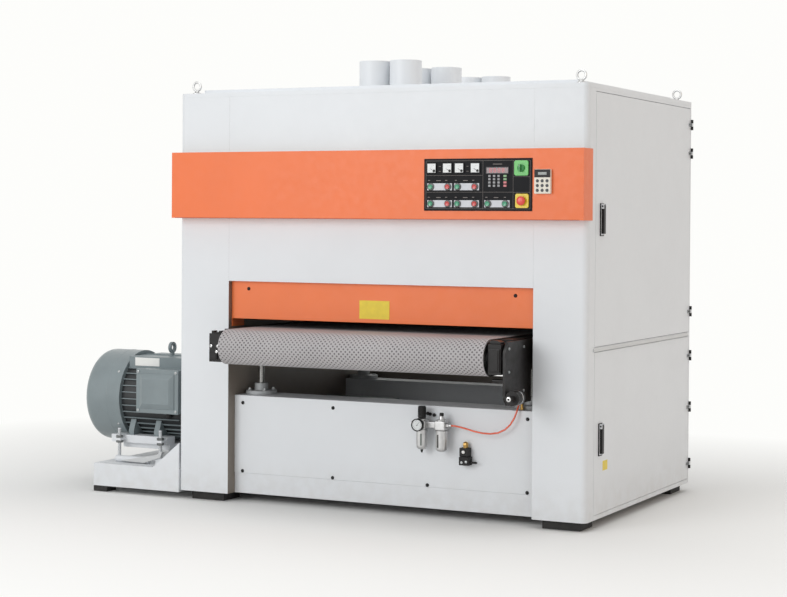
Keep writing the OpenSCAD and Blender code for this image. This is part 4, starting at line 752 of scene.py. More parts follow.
    def copies(self, name: str, model: bpy.types.Object,
               places: Iterable[Matrix | Point]) -> bpy.types.Object:
        """Copies a model to places, each with its own mesh, and joins them into one piece.

        Args:
            name: The joined piece's name.
            model: The model; it is used up.
            places: Where the copies go, as offsets or matrices.

        Returns:
            The joined piece.
        """
        made = []
        for place in places:
            step = place if isinstance(place, Matrix) else Matrix.Translation(Vector(place))
            copy = bpy.data.objects.new(name, model.data.copy())
            copy.data.transform(step)
            bpy.context.scene.collection.objects.link(copy)
            made.append(copy)
        bpy.data.objects.remove(model)
        return self.joined(name, made)

    def joined(self, name: str, parts: Sequence[bpy.types.Object]) -> bpy.types.Object:
        """Joins pieces into one."""
        self.clear()
        for part in parts:
            part.select_set(True)
        bpy.context.view_layer.objects.active = parts[0]
        if len(parts) > 1:
            bpy.ops.object.join()
        piece = bpy.context.object
        piece.name = name
        piece.data.name = name
        return piece

    def from_cad(self, node: str, name: str, soft: float = 0.002, segments: int = 2) -> bpy.types.Object:
        """A merged copy of a CAD node's mesh with its sharp edges rounded."""
        source = frame["nodes"][node]
        piece = bpy.data.objects.new(name, source.data.copy())
        bpy.context.scene.collection.objects.link(piece)
        self.edit(piece)
        bpy.ops.mesh.remove_doubles(threshold=MERGE)
        bpy.ops.mesh.dissolve_limited(angle_limit=math.radians(0.4))
        bpy.ops.mesh.select_all(action="SELECT")
        bpy.ops.mesh.vert_connect_concave()
        self.close()
        return self.soften(piece, soft, segments)


bench = Bench()


class Form(Enum):
    """The head of a fastener."""

    HEX = "hexagon"
    SOCKET = "socket"
    PAN = "pan"


def swung(place: Point | Vector, angle: float, axis: str = "Z") -> Matrix:
    """A turn by an angle in radians round one axis, then a move to a place."""
    return Matrix.Translation(place) @ Matrix.Rotation(angle, 4, axis)


def fastener(form: Form, size: float, height: float) -> bpy.types.Object:
    """A bolt or screw head at the origin, pointing up.

    Args:
        form: The kind of head.
        size: Its outer radius in metres.
        height: Its height in metres.

    Returns:
        The head as a piece.
    """
    if form is Form.HEX:
        head = bench.rod("head", (0, 0, 0), Axis.Z, height, size, 6, 0.0)
        bench.faces(head, Axis.Z)
        bpy.ops.mesh.inset(thickness=size * 0.08, depth=0)
        bpy.ops.mesh.extrude_region_move(TRANSFORM_OT_translate={"value": (0, 0, height * 0.12)})
        bench.close()
        washer = bench.turned("washer",
                              [(0, 0), (size * 1.35, 0), (size * 1.35, height * 0.2), (0, height * 0.2)],
                              (0, 0, 0), Axis.Z, 24)
        return bench.joined("head", [head, washer])
    if form is Form.SOCKET:
        outline = [(0, 0), (size, 0), (size, height * 0.9), (size * 0.9, height), (size * 0.5, height),
                   (size * 0.5, height * 0.4), (0, height * 0.4)]
    else:
        outline = [(0, 0), (size, 0), (size * 0.97, height * 0.35), (size * 0.78, height * 0.75),
                   (size * 0.4, height * 0.97), (size * 0.16, height), (size * 0.16, height * 0.6),
                   (0, height * 0.6)]
    return bench.turned("head", outline, (0, 0, 0), Axis.Z, 20)


@dataclass
class Assembly:
    """A sub-assembly: it builds its pieces, dresses them and lets each ride on its body."""

    body: str = "cabinet"

    def finish(self, piece: bpy.types.Object, finish: Finish, body: str | None = None,
               replaces: Sequence[str] = ()) -> bpy.types.Object:
        """Gives a piece its finish and body.

        Args:
            piece: The piece.
            finish: Its finish.
            body: The body that it rides on, if not the assembly's own.
            replaces: CAD nodes that it stands for.

        Returns:
            The same piece.
        """
        piece.data.materials.clear()
        piece.data.materials.append(finish.material)
        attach(piece, body or self.body)
        if replaces:
            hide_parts(*replaces)
        log.info("%s: %s on %s", piece.name, finish.name, body or self.body)
        return piece

    def node(self, node: str, finish: Finish) -> None:
        """Gives a CAD node that stays in view its finish."""
        target = frame["nodes"][node]
        target.data.materials.clear()
        target.data.materials.append(finish.material)
        log.info("%s: %s on its CAD solid", node, finish.name)

    def rounded(self, node: str, finish: Finish, soft: float = 0.002, body: str | None = None,
                segments: int = 2) -> bpy.types.Object:
        """Stands a copy of a CAD node with rounded edges in its place."""
        piece = bench.from_cad(node, node + "_skin", soft, segments)
        return self.finish(piece, finish, body or self.owner(node), [node])

    @staticmethod
    def owner(node: str) -> str:
        """The body that holds a CAD node."""
        return frame["nodes"][node]["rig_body"]

    def heads(self, name: str, form: Form, places: Sequence[Point], axis: Axis, size: float, height: float,
              finish: Finish, body: str | None = None) -> bpy.types.Object:
        """A group of like bolt heads."""
        turn = axis.turn
        model = fastener(form, size, height)
        spots = [Matrix.Translation(Vector(p)) @ turn for p in places]
        return self.finish(bench.copies(name, model, spots), finish, body)


# Sub-assemblies


@dataclass
class Camera:
    """The photograph's viewpoint, from the fit of its straight edges."""

    place: Point = (3.8617, -7.5185, 1.3479)
    yaw: float = 26.541
    pitch: float = 0.716
    roll: float = -0.388
    lens: float = 84.6
    shift: float = -0.0699

    def build(self) -> None:
        """Makes the camera and sets it."""
        yaw, pitch, roll = (math.radians(a) for a in (self.yaw, self.pitch, self.roll))
        ahead = Vector((-math.sin(yaw) * math.cos(pitch), math.cos(yaw) * math.cos(pitch), -math.sin(pitch)))
        right = Vector((math.cos(yaw), math.sin(yaw), 0))
        down = ahead.cross(right)
        across = math.cos(roll) * right + math.sin(roll) * down
        below = -math.sin(roll) * right + math.cos(roll) * down
        data = bpy.data.cameras.new("camera")
        data.lens, data.sensor_width, data.shift_y = self.lens, 36.0, self.shift
        data.clip_start, data.clip_end = 0.1, 100.0
        camera = bpy.data.objects.new("camera", data)
        facing = Matrix((across, -below, -ahead)).transposed().to_4x4()
        camera.matrix_world = Matrix.Translation(self.place) @ facing
        bpy.context.scene.collection.objects.link(camera)
        bpy.context.scene.camera = camera


@dataclass(frozen=True)
class Lamp:
    """A soft square lamp, aimed from its place at a target."""

    name: str
    place: Point
    target: Point
    size: float
    power: float
    colour: RGB

    def build(self) -> None:
        """Hangs the lamp."""
        data = bpy.data.lights.new(self.name, "AREA")
        data.shape, data.size, data.energy, data.color = "SQUARE", self.size, self.power, self.colour
        lamp = bpy.data.objects.new(self.name, data)
        lamp.location = self.place
        lamp.rotation_euler = (Vector(self.target) - Vector(self.place)).to_track_quat("-Z", "Y").to_euler()
        bpy.context.scene.collection.objects.link(lamp)


COOL: RGB = (0.985, 0.99, 1.0)
WARM: RGB = (1.0, 0.74, 0.53)


@dataclass
class Studio:
    """Pale floor, soft lamps and a near-white surround."""

    floor_size: float = 60.0
    surround: RGB = (0.985, 0.985, 0.965)
    fill: float = 0.52
    glow: float = 0.0
    fade: float = 2.4
    footprint: Point = (-0.25, 0.7275, 0.0)
    footprint_half: Point = (1.34, 0.77, 1.0)
    lamps: tuple[Lamp, ...] = (
        Lamp("front_lamp", (-2.6, -6.8, 3.0), (0, 0.2, 0.9), 4.0, 196, COOL),
        Lamp("top_lamp", (0.5, 0.5, 6.0), (0, 0.6, 0), 5.0, 110, COOL),
        Lamp("side_lamp", (6.5, 0.5, 3.0), (0.8, 0.7, 1.0), 3.5, 44, WARM))

    def surround_rays(self, tree: bpy.types.NodeTree) -> bpy.types.NodeSocket:
        """1 for rays that show the surround itself, straight, mirrored or through glass."""
        path = tree.nodes.new("ShaderNodeLightPath")
        total = path.outputs["Is Camera Ray"]
        for ray in ("Is Glossy Ray", "Is Transmission Ray"):
            add = tree.nodes.new("ShaderNodeMath")
            add.operation = "MAXIMUM"
            tree.links.new(total, add.inputs[0])
            tree.links.new(path.outputs[ray], add.inputs[1])
            total = add.outputs[0]
        return total

    def world(self) -> None:
        """Even light all round, and a near-white surround where it is seen."""
        world = bpy.data.worlds.new("surround")
        world.use_nodes = True
        tree = world.node_tree
        tree.nodes.clear()
        out = tree.nodes.new("ShaderNodeOutputWorld")
        mixer = tree.nodes.new("ShaderNodeMixShader")
        light, seen = (tree.nodes.new("ShaderNodeBackground") for _ in range(2))
        light.inputs[0].default_value, light.inputs[1].default_value = (1, 1, 1, 1), self.fill
        seen.inputs[0].default_value, seen.inputs[1].default_value = (*self.surround, 1), 1.0
        tree.links.new(self.surround_rays(tree), mixer.inputs[0])
        tree.links.new(light.outputs[0], mixer.inputs[1])
        tree.links.new(seen.outputs[0], mixer.inputs[2])
        tree.links.new(mixer.outputs[0], out.inputs[0])
        bpy.context.scene.world = world

    def floor(self) -> None:
        """A pale floor, dark under the machine and fading into the surround away from it."""
        bench.clear()
        bpy.ops.mesh.primitive_plane_add(size=self.floor_size, location=(0, 0, -0.0005))
        floor = bench.settle(bpy.context.object, "studio_floor")
        graph = Graph("studio_floor")
        graph.set(Base_Color=(0.86, 0.86, 0.845, 1.0), Roughness=0.85)
        bright = graph.add("Emission", {"Color": (*self.surround, 1.0), "Strength": 1.0})
        off = graph.add("TexCoord").outputs["Object"]
        for operation, value in (("SUBTRACT", self.footprint), ("ABSOLUTE", None),
                                 ("SUBTRACT", self.footprint_half), ("MAXIMUM", (0.0, 0.0, 0.0))):
            inputs = {0: off} if value is None else {0: off, 1: value}
            off = graph.add("VectorMath", inputs, operation=operation).outputs[0]
        away = graph.add("VectorMath", {0: off}, operation="LENGTH").outputs["Value"]
        fade = graph.ramp(away, 0.0, self.fade, self.glow, 1.0)
        share = graph.add("Math", {0: self.surround_rays(graph.tree), 1: fade}, operation="MULTIPLY")
        mixer = graph.add("MixShader",
                          {0: share.outputs[0], 1: graph.shader.outputs[0], 2: bright.outputs[0]})
        graph.join(mixer.outputs[0], graph.out.inputs["Surface"])
        floor.data.materials.append(graph.material)

    def build(self) -> None:
        """Builds the studio."""
        scene = bpy.context.scene
        scene.view_settings.view_transform = "Standard"
        self.world()
        self.floor()
        for lamp in self.lamps:
            lamp.build()


@dataclass
class AirHose(Assembly):
    """The orange air hose between the lubricator and its elbow on the shelf."""

    diameter: float = 0.008
    points: tuple[Point, ...] = (
        (0.396, 0.015, 0.428), (0.412, 0.015, 0.428), (0.436, 0.015, 0.425), (0.470, 0.015, 0.418),
        (0.508, 0.016, 0.409), (0.546, 0.018, 0.403), (0.584, 0.020, 0.402), (0.620, 0.023, 0.408),
        (0.652, 0.027, 0.424), (0.676, 0.031, 0.448), (0.692, 0.035, 0.476), (0.701, 0.040, 0.502),
        (0.704, 0.048, 0.522), (0.705, 0.059, 0.535), (0.705, 0.070, 0.540), (0.705, 0.080, 0.540))

    def build(self) -> None:
        hose = bench.wire("air_hose_tube", self.points, self.diameter / 2, as_mesh=False)
        hose.data.bevel_resolution = 6
        self.finish(hose, HOSE, replaces=["air_hose"])


@dataclass
class Cabinet(Assembly):
    """Columns, panels, roof, base and rear, with their covers, drip strip and screws."""

    right: float = 1.045
    left: float = -1.045
    depth: float = 1.455
    strip_z: Flat = (0.779, 0.797)
    strip_y: Flat = (0.072, 1.415)
    cover_back: float = 1.32
    covers: tuple[tuple[float, Flat], ...] = ((0.66, (0.19, 0.84)), (0.16, (0.89, 1.30)))
    screw_in: float = 0.03

    def build(self) -> None:
        """Builds the cabinet's pieces."""
        for node, finish in (("left_column", INSIDE_LEFT), ("right_column", INSIDE_RIGHT),
                             ("upper_front_panel", WHITE), ("roof_panel", WHITE)):
            self.rounded(node, finish, 0.0006)
        for node, finish in (("base_frame", WHITE), ("lower_front_panel", WHITE),
                             ("rear_panels", INSIDE_BACK)):
            self.rounded(node, finish, 0.0015)
        self.drip_strip()
        self.drive_covers()
        self.rear_details()
        self.rounded("floor_pads", RUBBER, 0.003)
        self.heads("panel_screws_detail", Form.PAN, self.screw_places(), Axis.FRONT, 0.0085, 0.006, KNOB)
        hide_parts("panel_screws")

    def screw_places(self) -> list[Point]:
        """Where the lower panel's and the cover's screws sit."""
        lower = [(x, 0.060, z) for x in (-0.722, -0.232667, 0.256667, 0.746) for z in (0.146, 0.472)]
        return lower + [(x, 0.027, 1.019) for x in (-0.673, 0.697)]

    def drip_strip(self) -> None:
        """The moulding between the two service doors, folded to shed water."""
        x, (low, high), (front, back) = self.right, self.strip_z, self.strip_y
        outline = [(x - 0.001, front, low), (x + 0.007, front, low), (x + 0.007, front, low + 0.006),
                   (x + 0.003, front, high - 0.002), (x - 0.001, front, high)]
        # The drip strip is darkened with painted shade.
        self.finish(bench.pressed("drip_strip", outline, (0, back - front, 0), 0.001), SHADED_WHITE_SHEET)

    def drive_covers(self) -> None:
        """Bolted covers over the belt drives on the left side."""
        face, back, inset = self.left - 0.004, self.cover_back, self.screw_in
        for number, (front, (low, high)) in enumerate(self.covers, start=1):
            self.finish(bench.tray(f"drive_cover_{number}", (face, front, low),
                                   (self.left + 0.001, back, high), Axis.LEFT, 0.012, 0.0015), WHITE)
            near, far, bottom, top = front + inset, back - inset, low + inset, high - inset
            places = [(face, y, z) for y in (near, far) for z in (bottom, top)]
            self.heads(f"drive_cover_screws_{number}", Form.PAN, places, Axis.LEFT, 0.007, 0.004, ZINC)

    def rear_details(self) -> None:
        """Stiffening folds, screws and a bare plate on the back."""
        back = self.depth
        for number, (low, high) in enumerate(((0.92, 1.36), (1.40, 1.88)), start=1):
            self.finish(bench.tray(f"rear_cover_{number}", (-0.70, back - 0.001, low),
                                   (0.72, back + 0.004, high), Axis.Y, 0.014, 0.0015), WHITE)
            rows = (low + self.screw_in, high - self.screw_in)
            places = [(x, back + 0.004, z) for x in (-0.67, -0.2, 0.25, 0.69) for z in rows]
            self.heads(f"rear_cover_screws_{number}", Form.PAN, places, Axis.Y, 0.007, 0.004, ZINC)
        self.finish(bench.box("rear_bare_plate", (0.80, back - 0.0005, 1.50), (0.92, back + 0.002, 1.58),
                              0.0008), LABEL)
        self.finish(bench.turned("mains_gland",
                                 [(0.0162, 0), (0.026, 0), (0.026, 0.012), (0.022, 0.014), (0.022, 0.03),
                                  (0.0175, 0.036), (0.0162, 0.036), (0.0162, 0)], (0.9265, back, 0.22),
                                 Axis.Y, 24), KNOB)


@dataclass
class FrontTrim(Assembly):
    """The orange band and the orange entry cover."""

    def build(self) -> None:
        """Builds the trim."""
        self.rounded("front_band", BAND, 0.004, segments=3)
        self.rounded("entry_cover", ORANGE, 0.002)
        self.finish(bench.box("cover_bare_plate", (-0.080, 0.0255, 0.894), (0.075, 0.0275, 0.979), 0.0008),
                    YELLOW)
        # A thin dark strip under the band: a painted shadow line.
        self.finish(bench.box("band_shade_line", (-1.030, -0.0674, 1.3525), (1.030, -0.0620, 1.3560), 0.0008), BAND_SHADE_LINE)


@dataclass
class Meter:
    """One moving-coil meter on the panel."""

    x: float
    z: float
    half: float = 0.0225
    front: float = -0.0765


@dataclass
class ControlPanel(Assembly):
    """Black panel with meters, thickness display, push buttons, switch and emergency stop."""

    x: float = 0.552
    z: float = 1.5075
    width: float = 0.520
    height: float = 0.231
    face: float = -0.070
    meters: tuple[Meter, ...] = (Meter(0.3305, 1.5815), Meter(0.407, 1.5815), Meter(0.465, 1.5815),
                                 Meter(0.542, 1.5815))
    starts: tuple[Flat, ...] = ((0.3265, 1.4985), (0.4575, 1.4985), (0.3265, 1.4235), (0.4575, 1.4235),
                                (0.6035, 1.4235), (0.6865, 1.4235))
    stops: tuple[Flat, ...] = ((0.4095, 1.4985), (0.5405, 1.4985), (0.4095, 1.4235), (0.5405, 1.4235))
    stop_at: Flat = (0.766, 1.4365)
    switch_at: Flat = (0.762, 1.5795)

    def build(self) -> None:
        """Builds the panel."""
        self.rounded("control_panel", PANEL, 0.0008)
        self.lines()
        self.button_plates()
        self.rings()
        self.buttons()
        for number, meter in enumerate(self.meters, start=1):
            self.meter(number, meter)
        self.display()
        self.emergency_stop()
        self.main_switch()
        self.remote()

    def strip(self, name: str, x: Flat, z: Flat, finish: Finish, rise: float = 0.0006,
              soft: float = 0.0003) -> None:
        """A thin raised plate on the panel's face."""
        self.finish(bench.box(name, (x[0], self.face - rise, z[0]), (x[1], self.face + 0.0004, z[1]), soft),
                    finish)

    def lines(self) -> None:
        """The pale border, dividers and blank caption bars."""
        edge, w = 0.009, 0.0011
        left, right = self.x - self.width / 2 + edge, self.x + self.width / 2 - edge
        low, high = self.z - self.height / 2 + edge, self.z + self.height / 2 - edge
        runs = [((left, right), (low, low + w)), ((left, right), (high - w, high)),
                ((left, left + w), (low, high)), ((right - w, right), (low, high)),
                ((left, 0.579), (1.548, 1.548 + w)), ((left, 0.722), (1.474, 1.474 + w)),
                ((0.578, 0.579), (low, high)), ((0.722, 0.723), (low, high)),
                ((0.722, right), (1.5415, 1.5425)), ((0.722, right), (1.473, 1.474))]
        for x, z in ((0.3165, 1.527), (0.363, 1.526), (0.401, 1.527), (0.448, 1.527), (0.494, 1.526),
                     (0.532, 1.527), (0.3165, 1.452), (0.363, 1.451), (0.401, 1.452), (0.448, 1.452),
                     (0.494, 1.451), (0.532, 1.452), (0.596, 1.452), (0.642, 1.451), (0.684, 1.452)):
            half = 0.011 if z in (1.526, 1.451) else 0.005
            runs.append(((x - half, x + half), (z - 0.0015, z + 0.0015)))
        runs += [((x - 0.005, x + 0.005), (z, z + 0.002)) for x in (0.369, 0.504) for z in (1.588, 1.566)]
        runs.append(((0.626, 0.670), (1.596, 1.599)))
        parts = [bench.box("line", (x[0], self.face - 0.0005, z[0]), (x[1], self.face + 0.0003, z[1]), 0.0)
                 for x, z in runs]
        self.finish(bench.joined("panel_lines", parts), FAINT)

    def button_plates(self) -> None:
        """The pale plates that carry each pair of buttons."""
        left, right, up = 0.018, 0.020, 0.0155
        firsts, seconds = self.starts[:5], (*self.stops, self.starts[5])
        for number, ((a, z), (b, _)) in enumerate(zip(firsts, seconds), start=1):
            self.strip(f"button_plate_{number}", (a - left, b + right), (z - up, z + up), PLATE, 0.0012)

    def rings(self) -> None:
        """Plated rings round the buttons."""
        ring = bench.turned("ring",
                            [(0.0111, 0), (0.0168, 0), (0.0168, 0.0035), (0.0152, 0.0062), (0.0118, 0.0068),
                             (0.0111, 0.0060), (0.0111, 0)], (0, 0, 0), Axis.Z, 32)
        places = [Matrix.Translation((x, self.face, z)) @ Axis.FRONT.turn for x,
                  z in (*self.starts, *self.stops)]
        self.finish(bench.copies("button_rings", ring, places), RING)

    def buttons(self) -> None:
        """The push buttons, each a cap with a dished face on its stem."""
        named = [(f"start_button_{i + 1}", p, GREEN) for i, p in enumerate(self.starts)]
        named += [(f"stop_button_{i + 1}", p, RED) for i, p in enumerate(self.stops)]
        outline = [(0, -0.003), (0.0108, -0.003), (0.0108, 0.0115), (0.0100, 0.0128), (0.0086, 0.0128),
                   (0.0060, 0.0118), (0, 0.0114)]
        for name, (x, z), finish in named:
            self.finish(bench.turned(name + "_cap", outline, (x, self.face, z), Axis.FRONT, 32), finish,
                        name + "_body", [name])

    def meter(self, number: int, meter: Meter) -> None:
        """A meter: frame, card, arc of ticks, needle and window."""
        x, z, half, front = meter.x, meter.z, meter.half, meter.front
        self.finish(bench.tray(f"meter_case_{number}", (x - half, front, z - half),
                               (x + half, self.face + 0.0005, z + half), Axis.FRONT, 0.0022, 0.0018, 0.0006),
                    KNOB)
        self.finish(bench.box(f"meter_card_{number}", (x - half + 0.0025, front + 0.0009, z - half + 0.0025),
                              (x + half - 0.0025, front + 0.0022, z + half - 0.0025), 0.0003), DIAL)
        parts = []
        pivot = Vector((x + half * 0.55, front + 0.0004, z - half * 0.55))
        for step in range(5):
            angle = math.radians(95 + step * 20)
            reach = Vector((math.cos(angle), 0, math.sin(angle)))
            tick = bench.box("tick", (-0.0002, -0.0002, 0), (0.0002, 0.0005, 0.0024), 0.0)
            tick.data.transform(swung(pivot + reach * 0.0225, math.pi / 2 - angle, "Y"))
            parts.append(tick)
        hand = bench.box("hand", (-0.0007, -0.0004, 0), (0.0007, 0.0003, 0.0200), 0.0001)
        hand.data.transform(swung(pivot, math.radians(-62), "Y"))
        hub = bench.turned("hub", [(0, 0), (0.0062, 0), (0.0058, 0.0012), (0, 0.0014)], tuple(pivot),
                           Axis.FRONT, 20)
        self.finish(bench.joined(f"meter_scale_{number}", [*parts, hand, hub]), KNOB)

    def display(self) -> None:
        """Thickness display with lit bars, and its keypad."""
        self.finish(bench.tray("display_frame", (0.594, -0.0745, 1.555), (0.7025, self.face + 0.0005, 1.585),
                               Axis.FRONT, 0.0025, 0.0015, 0.0008), DEVICE)
        self.finish(bench.box("display_window", (0.597, -0.0738, 1.5578), (0.6995, -0.0725, 1.5822), 0.0004),
                    RED_GLASS)
        bars = []
        for digit in range(4):
            left = 0.612 + digit * 0.020
            for dx, dz, w, h in ((0, 0.0155, 0.009, 0.0012), (0, 0.0075, 0.009, 0.0012),
                                 (0, -0.0005, 0.009, 0.0012), (-0.0012, 0.0085, 0.0012, 0.0065),
                                 (0.009, 0.0085, 0.0012, 0.0065), (-0.0012, 0.0005, 0.0012, 0.0065),
                                 (0.009, 0.0005, 0.0012, 0.0065)):
                bars.append(bench.box("bar", (left + dx, -0.0742, 1.5622 + dz),
                                      (left + dx + w, -0.0736, 1.5622 + dz + h), 0.0))
        self.finish(bench.joined("display_bars", bars), DISPLAY_SEGMENT)
        self.strip("keypad_plate", (0.596, 0.7005), (1.4795, 1.5525), PANEL, 0.0008)
        keys, coloured = [], {KEY_GREEN: [], KEY_RED: []}
        for row in range(4):
            z = 1.5455 - row * 0.0143
            for x in (0.6103, 0.6325, 0.6541):
                keys.append((x, z))
            coloured[KEY_GREEN if row < 2 else KEY_RED].append((0.6845, z))
        for name, spots, finish, half in (("keypad_keys", keys, KEY, 0.0055),
                                          ("keypad_keys_green", coloured[KEY_GREEN], KEY_GREEN, 0.0075),
                                          ("keypad_keys_red", coloured[KEY_RED], KEY_RED, 0.0075)):
            key = bench.box("key", (-half, -0.0030, -0.0048), (half, 0.0006, 0.0048), 0.0012)
            self.finish(bench.copies(name, key, [(x, self.face, z) for x, z in spots]), finish)

    def emergency_stop(self) -> None:
        """Yellow plate, collar and the red mushroom head."""
        x, z = self.stop_at
        self.finish(self.ring_plate("stop_plate", self.stop_at, 0.031), YELLOW)
        self.finish(bench.turned("stop_collar",
                                 [(0.0083, 0), (0.0165, 0), (0.0155, 0.0015), (0.0083, 0.0015), (0.0083, 0)],
                                 (x, self.face - 0.006, z), Axis.FRONT, 32), KNOB)
        outline = [(0, -0.001), (0.0080, -0.001), (0.0080, 0.0138), (0.0175, 0.0150), (0.0200, 0.0172),
                   (0.0198, 0.0200), (0.0165, 0.0228), (0.0100, 0.0240), (0, 0.0242)]
        self.finish(bench.turned("stop_head", outline, (x, self.face, z), Axis.FRONT, 48), STOP_RED,
                    "emergency_stop_body", ["emergency_stop"])

    def ring_plate(self, name: str, at: Flat, half: float) -> bpy.types.Object:
        """A square plate with a round hole, made by joining a square rim to a circle."""
        x, z = at
        front, back = self.face - 0.006, self.face + 0.0004
        mesh = bpy.data.meshes.new(name)
        count = 32
        points, quads = [], []
        for y in (front, back):
            for ring in range(2):
                for i in range(count):
                    angle = math.tau * (i + 0.5) / count
                    c, s = math.cos(angle), math.sin(angle)
                    reach = 0.0083 if ring == 0 else half / max(abs(c), abs(s))
                    points.append((x + reach * c, y, z + reach * s))
        for i in range(count):
            j = (i + 1) % count
            quads += [(i, j, count + j, count + i),
                      (2 * count + i, 3 * count + i, 3 * count + j, 2 * count + j),
                      (count + i, count + j, 3 * count + j, 3 * count + i),
                      (i, 2 * count + i, 2 * count + j, j)]
        mesh.from_pydata(points, [], quads)
        piece = bpy.data.objects.new(name, mesh)
        bpy.context.scene.collection.objects.link(piece)
        bench.edit(piece)
        bpy.ops.mesh.normals_make_consistent(inside=False)
        bench.close()
        return bench.soften(piece, 0.0005, angle=60)

    def main_switch(self) -> None:
        """Green plate and the rotary knob."""
        x, z = self.switch_at
        self.finish(self.ring_plate("switch_plate", self.switch_at, 0.033), GREEN_PLATE)
        skirt = [(0, -0.001), (0.0080, -0.001), (0.0080, 0.0065), (0.0168, 0.0068), (0.0165, 0.0120),
                 (0.0140, 0.0150), (0, 0.0155)]
        base = bench.turned("knob_base", skirt, (x, self.face, z), Axis.FRONT, 40)
        grip = bench.box("grip", (x - 0.0042, self.face - 0.0290, z - 0.0160),
                         (x + 0.0042, self.face - 0.0140, z + 0.0160), 0.0025, 3)
        self.finish(bench.joined("switch_grip", [base, grip]), SWITCH_GREEN, "main_switch_body",
                    ["main_switch"])
        self.finish(bench.box("switch_mark", (x - 0.0007, self.face - 0.0294, z + 0.003),
                              (x + 0.0007, self.face - 0.0288, z + 0.014), 0.0), LINE, "main_switch_body")

    def remote(self) -> None:
        """The small keypad beside the panel."""
        low, high, y = (0.826, -0.085, 1.467), (0.903, -0.067, 1.574), -0.085
        self.finish(bench.box("remote_shell", low, high, 0.004, 3), CREAM, replaces=["panel_instruments"])
        self.finish(bench.box("remote_top", (0.8275, y - 0.0008, 1.538), (0.9015, y + 0.002, 1.5725), 0.001),
                    KNOB)
        self.finish(bench.box("remote_window", (0.845, y - 0.0014, 1.549), (0.885, y, 1.561), 0.0006), LCD)
        key = bench.turned("key", [(0, 0), (0.0070, 0), (0.0066, 0.0022), (0.0050, 0.0030), (0, 0.0028)],
                           (0, 0, 0), Axis.Z, 20)
        places = [Matrix.Translation((0.842 + c * 0.0225, y, 1.482 + r * 0.0205)) @ Axis.FRONT.turn
                  for c in range(3) for r in range(3)]
        self.finish(bench.copies("remote_keys", key, places), DEVICE)


